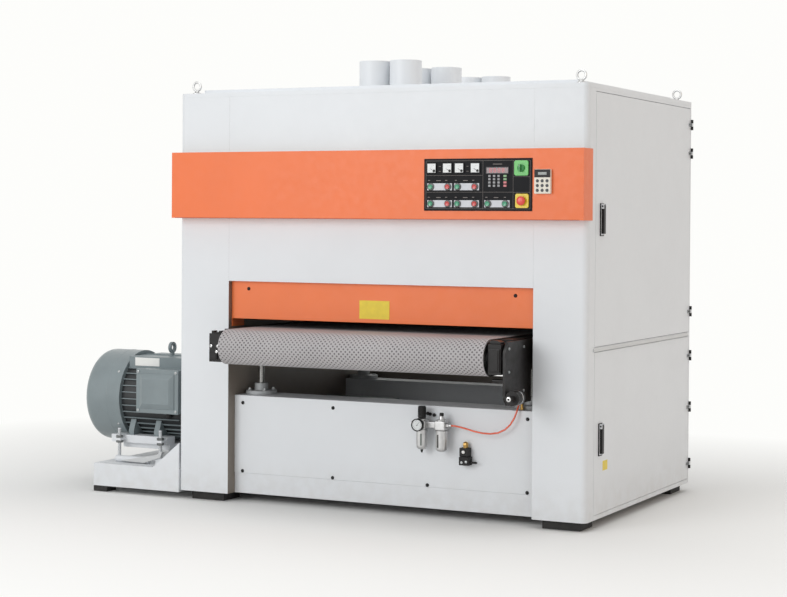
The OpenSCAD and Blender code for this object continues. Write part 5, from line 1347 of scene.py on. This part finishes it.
@dataclass
class Motor(Assembly):
    """The main motor on its tilting plate beside the left column."""

    y: float = 0.350
    z: float = 0.449
    x0: float = -1.480
    x1: float = -1.110
    cowl_x: float = -1.697
    rod_x: Flat = (-1.460, -1.218)
    rod_y: float = 0.100
    arm_y: float = 0.0925
    rod_low: float = 0.156
    pitch: float = 0.0049
    turns: int = 30

    def build(self) -> None:
        """Builds the motor and its mount."""
        self.rounded("motor_housing", FINS, 0.0015)
        self.rounded("fan_cowl", MOTOR, 0.0015)
        self.rounded("motor_mount", WHITE, 0.002)
        self.node("motor_rotor", STEEL)
        self.cowl_details()
        self.terminal_box()
        self.mount_details()

    def cowl_details(self) -> None:
        """A rolled seam, its screws and the grille's centre plate."""
        self.finish(bench.turned("cowl_seam",
                                 [(0.2285, 0), (0.2302, 0.002), (0.2302, 0.006), (0.2285, 0.008),
                                  (0.2275, 0.004), (0.2285, 0)], (self.x0 - 0.075, self.y, self.z), Axis.LEFT,
                                 96), MOTOR)
        places = []
        for angle in (35, 145, 215, 325):
            a = math.radians(angle)
            away = Vector((0, math.cos(a), math.sin(a)))
            spot = Vector((self.x0 - 0.03, self.y, self.z)) + 0.2285 * away
            places.append(Matrix.Translation(spot) @ away.to_track_quat("Z", "Y").to_matrix().to_4x4())
        self.finish(bench.copies("cowl_screws", fastener(Form.PAN, 0.007, 0.004), places), ZINC)
        self.finish(bench.turned("cowl_centre",
                                 [(0, 0), (0.050, 0), (0.046, 0.003), (0.020, 0.0045), (0, 0.0045)],
                                 (self.cowl_x, self.y, self.z), Axis.LEFT, 48), MOTOR)

    def terminal_box(self) -> None:
        """The box's pyramid lid, its screws, gland and a bare plate."""
        x0, x1, z0, z1, front = -1.349, -1.109, 0.394, 0.604, 0.096
        lid = bench.box("terminal_lid", (x0 - 0.003, front - 0.012, z0 - 0.003),
                        (x1 + 0.003, front + 0.002, z1 + 0.003), 0.0)
        bench.faces(lid, Axis.FRONT)
        bpy.ops.mesh.inset(thickness=0.022, depth=0)
        bpy.ops.mesh.extrude_region_move(TRANSFORM_OT_translate={"value": (0, -0.004, 0)})
        bpy.ops.mesh.inset(thickness=0.024, depth=0)
        bpy.ops.transform.translate(value=(0, -0.014, 0))
        bench.close()
        self.finish(bench.soften(lid, 0.003, 3, 20.0), MOTOR)
        places = [(x, front - 0.012, z) for x in (x0 + 0.010, x1 - 0.010) for z in (z0 + 0.010, z1 - 0.010)]
        self.heads("terminal_screws", Form.SOCKET, places, Axis.FRONT, 0.0065, 0.005, ZINC)
        self.finish(bench.turned("terminal_gland",
                                 [(0, 0), (0.018, 0), (0.018, 0.010), (0.015, 0.012), (0.015, 0.026),
                                  (0.011, 0.032), (0, 0.032)], (-1.20, 0.150, z0 + 0.001), Axis.DOWN, 24),
                    KNOB)
        self.finish(bench.box("rating_plate", (-1.440, 0.2030, 0.611), (-1.295, 0.2055, 0.652), 0.0008),
                    LABEL)

    def mount_details(self) -> None:
        """Feet bolts, threads and the cranked arm below the plate."""
        bolts = [(x, y, 0.290) for x in (-1.425, -1.275) for y in (0.168, 0.532)]
        self.heads("foot_bolts", Form.HEX, bolts, Axis.Z, 0.010, 0.009, ZINC)
        y = self.arm_y
        # The arm is darkened with painted shade.
        self.finish(bench.pressed("tilt_arm",
                                  [(-1.44, y, 0.147), (-1.22, y, 0.190), (-1.205, y, 0.205),
                                   (-1.19, y, 0.205), (-1.20, y, 0.175), (-1.30, y, 0.143)], (0, -0.020, 0),
                                  0.003), SHADED_WHITE_SHEET)
        spots = [(x, self.rod_y, z) for x in self.rod_x for z in (0.2578, 0.2338)]
        nuts = [bench.rod("nut", spot, Axis.Z, 0.0125, 0.0178, 6) for spot in spots]
        self.finish(bench.joined("tilt_nuts", nuts), DARK_STEEL)
        for number, x in enumerate(self.rod_x, start=1):
            teeth = [(0.0, self.rod_low)]
            for step in range(self.turns):
                low = self.rod_low + step * self.pitch
                teeth += [(0.0079, low), (0.0084, low + 0.0012), (0.0079, low + 0.0024)]
            teeth.append((0.0, self.rod_low + self.turns * self.pitch))
            self.finish(bench.turned(f"tilt_thread_{number}", teeth, (x, self.rod_y, 0), Axis.Z, 20),
                        DARK_STEEL)


SCREW_X: Flat = (-0.691, 0.715)
SCREW_Y: Flat = (0.180, 1.250)


@dataclass
class Conveyor(Assembly):
    """The feed table: belt, rollers, brackets, rails and the tracking gear."""

    body: str = "table"
    front_y: float = -0.200
    rear_y: float = 1.500
    z: float = 0.7577
    outer: float = 0.0803
    x0: float = -0.653
    x1: float = 0.677
    pitch: float = 0.006
    turns: int = 80

    def build(self) -> None:
        """Builds the conveyor."""
        self.belt()
        self.rounded("feed_table", BLACK, 0.002)
        self.rounded("roller_brackets", BLACK, 0.0025, segments=3)
        for node in ("front_roller", "rear_roller"):
            self.rounded(node, STEEL, 0.001)
        self.screws()
        self.left_bracket()
        self.right_bracket()

    def belt(self) -> None:
        """The belt as a loop with a UV map in metres, so that its dimples follow it round."""
        steps, points, lengths = 32, [], []
        for centre, start in ((self.front_y, 90), (self.rear_y, -90)):
            for i in range(steps + 1):
                angle = math.radians(start + 180 * i / steps)
                points.append((centre + self.outer * math.cos(angle), self.z + self.outer * math.sin(angle)))
        total = 0.0
        for a, b in zip(points, points[1:] + points[:1]):
            lengths.append(total)
            total += math.dist(a, b)
        lengths.append(total)
        name = "feed_belt_loop"
        mesh = bpy.data.meshes.new(name)
        mesh.from_pydata([(self.x0, y, z) for y, z in points],
                         [(i, (i + 1) % len(points)) for i in range(len(points))], [])
        piece = bpy.data.objects.new(name, mesh)
        bpy.context.scene.collection.objects.link(piece)
        bench.edit(piece)
        bpy.ops.mesh.extrude_region_move(TRANSFORM_OT_translate={"value": (self.x1 - self.x0, 0, 0)})
        bpy.ops.mesh.select_all(action="SELECT")
        bpy.ops.mesh.normals_make_consistent(inside=False)
        bench.close()
        self.map_belt(piece, points, lengths)
        self.finish(piece, BELT, replaces=["feed_belt"])
        piece.data.materials.append(BELT_EDGE.material)
        bench.apply(piece, "SOLIDIFY", thickness=0.004, offset=-1.0, use_rim=True, material_offset_rim=1,
                    material_offset=1)
        bench.soften(piece, 0.0006, 2, 60.0)

    def map_belt(self, piece: bpy.types.Object, points: list[Flat], lengths: list[float]) -> None:
        """Writes the UV map: across the belt, and along its run."""
        layer = piece.data.uv_layers.new(name="run")
        count = len(points)
        where = {(round(y, 5), round(z, 5)): i for i, (y, z) in enumerate(points)}
        for polygon in piece.data.polygons:
            marks = []
            for corner in polygon.loop_indices:
                place = piece.data.vertices[piece.data.loops[corner].vertex_index].co
                marks.append((corner, place.x, where[(round(place.y, 5), round(place.z, 5))]))
            numbers = {m[2] for m in marks}
            wraps = 0 in numbers and count - 1 in numbers
            for corner, x, number in marks:
                along = lengths[count] if wraps and number == 0 else lengths[number]
                layer.data[corner].uv = (x, along)
        log.info("belt run %.3f m", lengths[-1])

    def screws(self) -> None:
        """The lifting screws with their threads."""
        root, crest, low = 0.0134, 0.0158, 0.2035
        outline = [(0.0, low)]
        for z in (low + step * self.pitch for step in range(self.turns)):
            outline += [(root, z), (crest, z + 0.0018), (crest, z + 0.0036), (root, z + 0.0054)]
        outline += [(root, 0.6905), (0.0265, 0.6912), (0.0268, 0.6938), (0.0, 0.6939)]
        model = bench.turned("screw", outline, (0, 0, 0), Axis.Z, 28)
        piece = bench.copies("lift_screw_threads", model, [(x, y, 0) for x in SCREW_X for y in SCREW_Y])
        self.finish(piece, UPRIGHT, replaces=["lift_screws"])

    def left_bracket(self) -> None:
        """Forks and bolts on the left bearing bracket."""
        x = SCREW_X[0]
        self.finish(bench.pressed("left_fork",
                                  [(x - 0.026, -0.232, 0.8195), (x + 0.026, -0.232, 0.8195),
                                   (x + 0.026, -0.232, 0.832), (x + 0.012, -0.232, 0.832),
                                   (x + 0.012, -0.232, 0.8245), (x - 0.012, -0.232, 0.8245),
                                   (x - 0.012, -0.232, 0.832), (x - 0.026, -0.232, 0.832)], (0, 0.030, 0),
                                  0.0015), BLACK)
        places = [(x - 0.018, -0.245, 0.762), (x + 0.018, -0.245, 0.762), (x + 0.012, -0.245, 0.736)]
        self.heads("left_bracket_bolts", Form.SOCKET, places, Axis.FRONT, 0.0070, 0.006, CHROME)
        self.finish(bench.tray("left_bearing_block", (x - 0.024, -0.252, 0.700), (x + 0.016, -0.243, 0.728),
                               Axis.FRONT, 0.004, -0.003), BLACK)

    def right_bracket(self) -> None:
        """Bearing block, tie rod, sensor arm and tracking cylinder at the front right."""
        self.finish(bench.tray("right_bearing_block", (0.688, -0.252, 0.700), (0.741, -0.2435, 0.800),
                               Axis.FRONT, 0.006, -0.004), BLACK)
        self.finish(bench.rod("tie_rod", (0.690, -0.205, 0.6605), Axis.X, 0.056, 0.0075), BLACK)
        bolts = [(0.765, y, z) for y,
                 z in ((-0.205, 0.800), (-0.205, 0.700), (-0.040, 0.800), (-0.040, 0.610))]
        self.heads("tracking_plate_bolts", Form.SOCKET, bolts, Axis.X, 0.006, 0.005, ZINC)
        self.finish(bench.turned("cylinder_nose",
                                 [(0.0045, 0), (0.0128, 0), (0.0128, 0.012), (0.0110, 0.014), (0.0110, 0.016),
                                  (0.0128, 0.018), (0.0128, 0.038), (0.0100, 0.0405), (0.0045, 0.0405),
                                  (0.0045, 0.032), (0.0045, 0)], (0.797, -0.2402, 0.590), Axis.FRONT, 32),
                    CHROME)
        self.finish(bench.turned("cylinder_ring",
                                 [(0.0318, 0), (0.0326, 0.001), (0.0326, 0.004), (0.0318, 0.005),
                                  (0.0305, 0.0025), (0.0318, 0)], (0.797, -0.190, 0.590), Axis.FRONT, 48),
                    CHROME)
        self.finish(bench.pressed("sensor_arm",
                                  [(0.690, -0.236, 0.8195), (0.740, -0.236, 0.8195), (0.740, -0.236, 0.829),
                                   (0.722, -0.236, 0.836), (0.696, -0.236, 0.836), (0.690, -0.236, 0.831)],
                                  (0, 0.046, 0), 0.002), BLACK)


@dataclass
class Lifting(Assembly):
    """Jacks under the table."""

    def build(self) -> None:
        """Builds the jacks."""
        self.rounded("lift_jacks", JACK, 0.003, segments=3)
        reach, places = 0.0585, []
        for x in SCREW_X:
            for a in range(45, 360, 90):
                angle = math.radians(a)
                places.append((x + reach * math.cos(angle), SCREW_Y[0] + reach * math.sin(angle), 0.531))
        self.heads("jack_bolts", Form.HEX, places, Axis.Z, 0.0075, 0.006, ZINC)


@dataclass
class Roof(Assembly):
    """Dust spigots and lifting eyes."""

    ports: tuple[Flat, ...] = tuple((x, y) for x in (-0.120, 0.040) for y in (0.250, 0.700, 1.310))
    top: float = 2.095

    def build(self) -> None:
        """Builds the roof's fittings."""
        self.rounded("dust_ports", WHITE, 0.0015)
        bead = bench.turned("bead",
                            [(0.0722, -0.0005), (0.0748, -0.0008), (0.0752, -0.004), (0.0749, -0.007),
                             (0.0722, -0.008), (0.0722, -0.0005)], (0, 0, self.top), Axis.Z, 64)
        self.finish(bench.copies("port_beads", bead, [(x, y, 0) for x, y in self.ports]), WHITE)
        screws = []
        for x, y in self.ports:
            for a in range(30, 360, 60):
                angle = math.radians(a)
                if abs(x + 0.078 * math.cos(angle) + 0.040) > 0.012:
                    screws.append((x + 0.0785 * math.cos(angle), y + 0.0785 * math.sin(angle), 1.976))
        self.heads("port_rivets", Form.PAN, screws, Axis.Z, 0.0026, 0.0016, ZINC)
        self.eyes()

    def eyes(self) -> None:
        """Forged ring eyes."""
        tube = 0.0054
        ring = [(0.0151 + tube - tube * math.cos(math.radians(a)),
                 tube * math.sin(math.radians(a))) for a in range(0, 361, 20)]
        ring[-1] = ring[0]
        model = bench.turned("ring", ring, (0, 0, 0.037), Axis.Y, 48)
        neck = bench.turned("neck",
                            [(0, 0), (0.0205, 0), (0.0205, 0.005), (0.0120, 0.0085), (0.0085, 0.013),
                             (0.0080, 0.0175), (0, 0.0175)], (0, 0, 0), Axis.Z, 32)
        model = bench.joined("eye", [model, neck])
        piece = bench.copies("lifting_eye_rings", model,
                             [(x, y, 1.950) for x in (-0.988, 0.988) for y in (0.057, 1.398)])
        self.finish(piece, ALLOY, replaces=["lifting_eyes"])


@dataclass
class ServiceSide(Assembly):
    """The two doors on the right with their hinges and handles."""

    x: float = 1.045

    def build(self) -> None:
        """Builds the doors."""
        for node in ("upper_door", "lower_door"):
            self.rounded(node, WHITE, 0.001)
        self.rounded("door_hinges", KNOB, 0.0012)
        for door, z in (("upper", 1.416), ("lower", 0.448)):
            self.handle(door, z)
            self.hinge_caps(door)
        self.gaskets()
        self.finish(bench.box("door_bare_plate", (self.x - 0.0004, 0.205, 0.247),
                              (self.x + 0.0008, 0.266, 0.290), 0.0003), YELLOW, "lower_door_body")

    def handle(self, door: str, z: float) -> None:
        """Escutcheon and lever of one door."""
        self.finish(bench.tray(f"{door}_handle_plate", (self.x - 0.0004, 0.1455, z - 0.131),
                               (self.x + 0.0046, 0.1885, z + 0.013), Axis.X, 0.004, 0.001, 0.001), KNOB,
                    f"{door}_door_body")
        lever = bench.from_cad(f"{door}_handle", f"{door}_handle_lever", 0.003, 3)
        self.finish(lever, KNOB, f"{door}_handle_body", [f"{door}_handle"])

    def hinge_caps(self, door: str) -> None:
        """Black leaves over the door's hinge barrels."""
        zs = (0.902, 1.693, 1.836) if door == "upper" else (0.139, 0.423, 0.681)
        leaf = bench.box("leaf", (self.x + 0.0028, 1.4085, -0.0082), (self.x + 0.0042, 1.4470, 0.0082),
                         0.0006)
        self.finish(bench.copies(f"{door}_hinge_leaves", leaf, [(0, 0, z) for z in zs]), KNOB,
                    f"{door}_door_body")
        four = [(y, dz) for y in (1.417, 1.434) for dz in (-0.0045, 0.0045)]
        screws = [(self.x + 0.0042, y, z + dz) for z in zs for y, dz in four]
        self.heads(f"{door}_hinge_screws", Form.PAN, screws, Axis.X, 0.003, 0.0015, ZINC, f"{door}_door_body")

    def gaskets(self) -> None:
        """Pale foam strips round the insides of the doors."""
        for door, low, high in (("upper", 0.806, 1.910), ("lower", 0.068, 0.770)):
            front, back, w = 0.104, 1.428, 0.012
            bars = [((front, low), (front + w, high)), ((back - w, low), (back, high)),
                    ((front + w, low), (back - w, low + w)), ((front + w, high - w), (back - w, high))]
            parts = [bench.box("strip", (self.x - 0.0095, a[0], a[1]), (self.x - 0.0038, b[0], b[1]),
                               0.001) for a, b in bars]
            self.finish(bench.joined(f"{door}_door_seal", parts), SEAL, f"{door}_door_body")


@dataclass
class AirService(Assembly):
    """Regulator, lubricator and hand valve on the lower panel."""

    x: float = 0.249
    y: float = 0.015
    z: float = 0.428
    lube_x: float = 0.347
    bowl_sizes: tuple[Point, ...] = ((0.249, 0.026, 0.092), (0.347, 0.028, 0.097))

    def build(self) -> None:
        """Builds the air fittings."""
        self.bodies()
        self.bowls()
        self.gauge()
        self.knob()
        self.valve()

    def bodies(self) -> None:
        """The two cast bodies, their link, ports and bracket."""
        parts = []
        for x in (self.x, self.lube_x):
            collar = [(0, 0), (0.0235, 0), (0.0235, 0.006), (0.0205, 0.008), (0, 0.008)]
            parts += [bench.box("body", (x - 0.025, self.y - 0.025, self.z - 0.023),
                                (x + 0.025, self.y + 0.025, self.z + 0.020), 0.005, 3),
                      bench.turned("collar", collar, (x, self.y, self.z + 0.018), Axis.Z, 32),
                      bench.box("stay", (x - 0.014, self.y, self.z - 0.014),
                                (x + 0.014, 0.060, self.z + 0.014), 0.002)]
        parts.append(bench.box("link", (self.x + 0.024, self.y - 0.012, self.z - 0.014),
                               (self.lube_x - 0.024, self.y + 0.012, self.z + 0.014), 0.003))
        parts.append(bench.turned("inlet",
                                  [(0.0062, 0), (0.012, 0), (0.012, 0.014), (0.0135, 0.016), (0.0135, 0.024),
                                   (0.0062, 0.024), (0.0062, 0)], (self.x - 0.025, self.y, self.z), Axis.LEFT,
                                  24))
        parts.append(bench.rod("outlet", (self.lube_x + 0.024, self.y, self.z), Axis.X, 0.012, 0.012, 6,
                               0.001))
        parts.append(bench.rod("nozzle", (self.lube_x + 0.034, self.y, self.z), Axis.X, 0.015, 0.0075, 24))
        self.finish(bench.joined("air_bodies", parts), ALLOY, replaces=["air_unit"])
        elbow = [bench.rod("nut", (0.705, 0.092, 0.508), Axis.Z, 0.012, 0.0085, 6),
                 bench.rod("stem", (0.705, 0.092, 0.519), Axis.Z, 0.029, 0.0065, 20),
                 bench.rod("tail", (0.705, 0.096, 0.540), Axis.FRONT, 0.0165, 0.0066, 20)]
        self.finish(bench.joined("hose_elbow", elbow), BRASS)
        dots = [(0.271, 0.058, 0.470), (0.291, 0.058, 0.467)]
        self.heads("air_stay_screws", Form.SOCKET, dots, Axis.FRONT, 0.0075, 0.006, KNOB)

    def bowls(self) -> None:
        """Guarded bowls, the right one with its dark sight strip."""
        for number, (x, r, h) in enumerate(self.bowl_sizes):
            top = self.z - 0.023
            outline = [(0, -h), (r * 0.30, -h + 0.0005), (r * 0.72, -h + 0.004), (r * 0.92, -h + 0.011),
                       (r * 0.95, -h + 0.022), (r * 0.97, -0.016), (r, -0.014), (r, -0.002), (r * 0.9, 0),
                       (0, 0)]
            self.finish(bench.turned(f"bowl_{number + 1}", outline, (x, self.y, top), Axis.Z, 48), ALLOY)
            rib = bench.box("rib", (-0.0016, -r * 0.985, -h + 0.024), (0.0016, -r * 0.90, -0.018), 0.0006)
            spots = [swung((x, self.y, top), math.radians(a)) for a in range(-60, 300, 30)]
            self.finish(bench.copies(f"bowl_ribs_{number + 1}", rib, spots), ALLOY)
            strip = bench.box(f"sight_{number + 1}", (-0.0045, -r * 1.0, -h + 0.020),
                              (0.0045, -r * 0.90, -0.018), 0.001)
            strip.data.transform(swung((x, self.y, top), math.radians(-15 if number else 15)))
            self.finish(strip, OIL_GLASS if number else LCD)
        self.finish(bench.turned("drain_tap",
                                 [(0, 0), (0.006, 0), (0.006, 0.006), (0.0045, 0.007), (0.0045, 0.013),
                                  (0.003, 0.014), (0, 0.014)], (self.x, self.y, self.z - 0.023 - 0.0915),
                                 Axis.DOWN, 20), KNOB)
        self.finish(bench.turned("oil_dome",
                                 [(0, 0), (0.0125, 0), (0.0120, 0.010), (0.0085, 0.0165), (0, 0.0180)],
                                 (self.lube_x, self.y, self.z + 0.0255), Axis.Z, 24), ALLOY)
        top = bench.turned("oil_knob", [(0, 0), (0.0098, 0), (0.0098, 0.010), (0.0085, 0.0130), (0, 0.0140)],
                           (self.lube_x, self.y, self.z + 0.0425), Axis.Z, 24)
        self.finish(top, KNOB)

    def gauge(self) -> None:
        """Pressure gauge with rim, card, ticks, hand and lens."""
        x, y, z = self.x, self.y - 0.025, self.z
        self.finish(bench.rod("gauge_stem", (x, y, z), Axis.FRONT, 0.015, 0.007, 6), BRASS)
        self.finish(bench.turned("gauge_case",
                                 [(0, 0), (0.024, 0), (0.029, 0.003), (0.029, 0.014), (0.0275, 0.016),
                                  (0.0245, 0.016), (0.0240, 0.012), (0, 0.012)], (x, y - 0.014, z),
                                 Axis.FRONT, 56), KNOB)
        card_y = y - 0.0262
        self.finish(bench.turned("gauge_card", [(0, 0), (0.0238, 0), (0.0238, 0.0006), (0, 0.0006)],
                                 (x, card_y, z), Axis.FRONT, 48), DIAL)
        parts = []
        for step in range(21):
            angle = math.radians(225 - step * 13.5)
            size = 0.0040 if step % 5 == 0 else 0.0024
            tick = bench.box("tick", (-0.0003, -0.0002, 0), (0.0003, 0.0002, size), 0.0)
            away = Vector((math.cos(angle), 0, math.sin(angle)))
            tick.data.transform(swung(Vector((x, card_y - 0.0008, z)) + away * 0.0175, math.pi / 2 - angle,
                                      "Y"))
            parts.append(tick)
        hand = bench.pressed("hand",
                             [(-0.0009, 0, -0.006), (0.0009, 0, -0.006), (0.0003, 0, 0.0165),
                              (-0.0003, 0, 0.0165)], (0, -0.0004, 0), 0.0)
        hand.data.transform(swung((x, card_y - 0.0010, z), math.radians(38), "Y"))
        hub = bench.turned("hub", [(0, 0), (0.0028, 0), (0.0022, 0.0012), (0, 0.0014)],
                           (x, card_y - 0.0006, z), Axis.FRONT, 20)
        self.finish(bench.joined("gauge_marks", [*parts, hand, hub]), KNOB)
        self.finish(bench.turned("gauge_window", [(0, 0), (0.0243, 0), (0.0240, 0.0008), (0, 0.0012)],
                                 (x, y - 0.0286, z), Axis.FRONT, 48), GLASS)

    def knob(self) -> None:
        """The regulator's ribbed knob."""
        base = self.z + 0.023 + 0.0053
        outline = [(0, -0.012), (0.0080, -0.012), (0.0080, 0), (0.0182, 0), (0.0188, 0.002), (0.0188, 0.010),
                   (0.0176, 0.012), (0.0172, 0.050), (0.0155, 0.0535), (0.006, 0.054), (0, 0.0535)]
        core = bench.turned("core", outline, (self.x, self.y, base), Axis.Z, 48)
        rib = bench.box("rib", (-0.0010, -0.0187, 0.013), (0.0010, -0.0160, 0.050), 0.0005)
        spots = [swung((self.x, self.y, base), math.tau * i / 24) for i in range(24)]
        ribs = bench.copies("ribs", rib, spots)
        self.finish(bench.joined("regulator_grip", [core, ribs]), KNOB, "regulator_knob_body",
                    ["regulator_knob"])

    def valve(self) -> None:
        """Hand valve: two black blocks, brass top, white button and its stub."""
        x, back, z = 0.455, 0.060, 0.291
        parts = [bench.box("lower", (x - 0.025, back - 0.040, z - 0.039), (x + 0.025, back, z - 0.0005),
                           0.003, 3), bench.box("upper", (x - 0.025, back - 0.035, z),
                                                (x + 0.020, back, z + 0.039), 0.003, 3)]
        self.finish(bench.joined("valve_blocks", parts), KNOB, replaces=["hand_valve"])
        self.finish(bench.turned("valve_cap",
                                 [(0, 0), (0.0115, 0), (0.0115, 0.006), (0.013, 0.008), (0.013, 0.018),
                                  (0.0105, 0.024), (0.006, 0.0275), (0, 0.028)],
                                 (x, back - 0.020, z + 0.0388), Axis.Z, 6), BRASS)
        self.finish(bench.turned("valve_button",
                                 [(0, 0), (0.0075, 0), (0.0075, 0.004), (0.006, 0.0055), (0, 0.006)],
                                 (x - 0.004, back - 0.0348, z + 0.021), Axis.FRONT, 24), LABEL)
        ports = [(x - 0.010, back - 0.040, z - 0.026), (x + 0.012, back - 0.040, z - 0.022)]
        self.heads("valve_screws", Form.SOCKET, ports, Axis.FRONT, 0.0055, 0.004, ZINC)
        stub = [bench.rod("stub", (x + 0.024, back - 0.025, z - 0.025), Axis.X, 0.030, 0.005, 20),
                bench.rod("tip", (x + 0.053, back - 0.025, z - 0.025), Axis.X, 0.006, 0.0035, 16)]
        self.finish(bench.joined("valve_stub", stub), KNOB)


@dataclass
class Inside(Assembly):
    """What shows when a door is open: heads, drives and electrics."""

    def build(self) -> None:
        """Dresses the inner pieces."""
        for node, finish in (("head_frames", IRON), ("sanding_motor", DARK_MOTOR)):
            self.rounded(node, finish, 0.002)
        for node, finish in (("drive_belts", RUBBER), ("sanding_belts", GRIT), ("cutterhead", STEEL),
                             ("sanding_pulley", STEEL), ("contact_roller_front", RUBBER),
                             ("contact_roller_rear", RUBBER), ("tension_roller_front", STEEL),
                             ("tension_roller_rear", STEEL), ("hold_down_front", RUBBER),
                             ("hold_down_middle", RUBBER)):
            self.node(node, finish)
        self.electrics()

    def electrics(self) -> None:
        """Backplate, slotted ducts and rows of switchgear."""
        x = 0.808
        self.finish(bench.box("electrics_sheet", (x, 0.130, 0.190), (x + 0.006, 1.400, 0.720), 0.0015), ZINC,
                    replaces=["electrics_plate"])
        ducts = []
        for z in (0.410, 0.6834):
            ducts.append(bench.tray("duct", (x + 0.006, 0.134, z), (x + 0.041, 1.396, z + 0.0275), Axis.X,
                                    0.003, 0.0015, 0.001))
        self.finish(bench.joined("cable_ducts", ducts), CABLE_DUCT)
        shells, heads, spots = [], [], []
        holes = [(k * 0.018, dz) for k in range(4) for dz in (0.012, 0.098)]
        for z in (0.245, 0.500):
            for y in (0.175 + i * 0.135 for i in range(8)):
                shells.append(bench.box("shell", (x + 0.006, y, z), (x + 0.056, y + 0.09, z + 0.11), 0.002))
                heads.append(bench.box("front", (x + 0.056, y + 0.012, z + 0.025),
                                       (x + 0.076, y + 0.078, z + 0.085), 0.003))
                spots += [(x + 0.056, y + 0.018 + dy, z + dz) for dy, dz in holes]
        self.finish(bench.joined("switchgear", shells), DEVICE)
        self.finish(bench.joined("switchgear_fronts", heads), PLATE)
        self.heads("switchgear_screws", Form.PAN, spots, Axis.X, 0.004, 0.002, ZINC)


def main() -> None:
    """Builds every sub-assembly in order."""
    logging.basicConfig(level=logging.INFO, format="%(message)s")
    Camera().build()
    AirHose().build()
    Studio().build()
    for assembly in (Cabinet(), FrontTrim(), ControlPanel(), Motor(), Conveyor(), Lifting(), Roof(),
                     ServiceSide(), AirService(), Inside()):
        assembly.build()


if __name__ == "__main__":
    main()
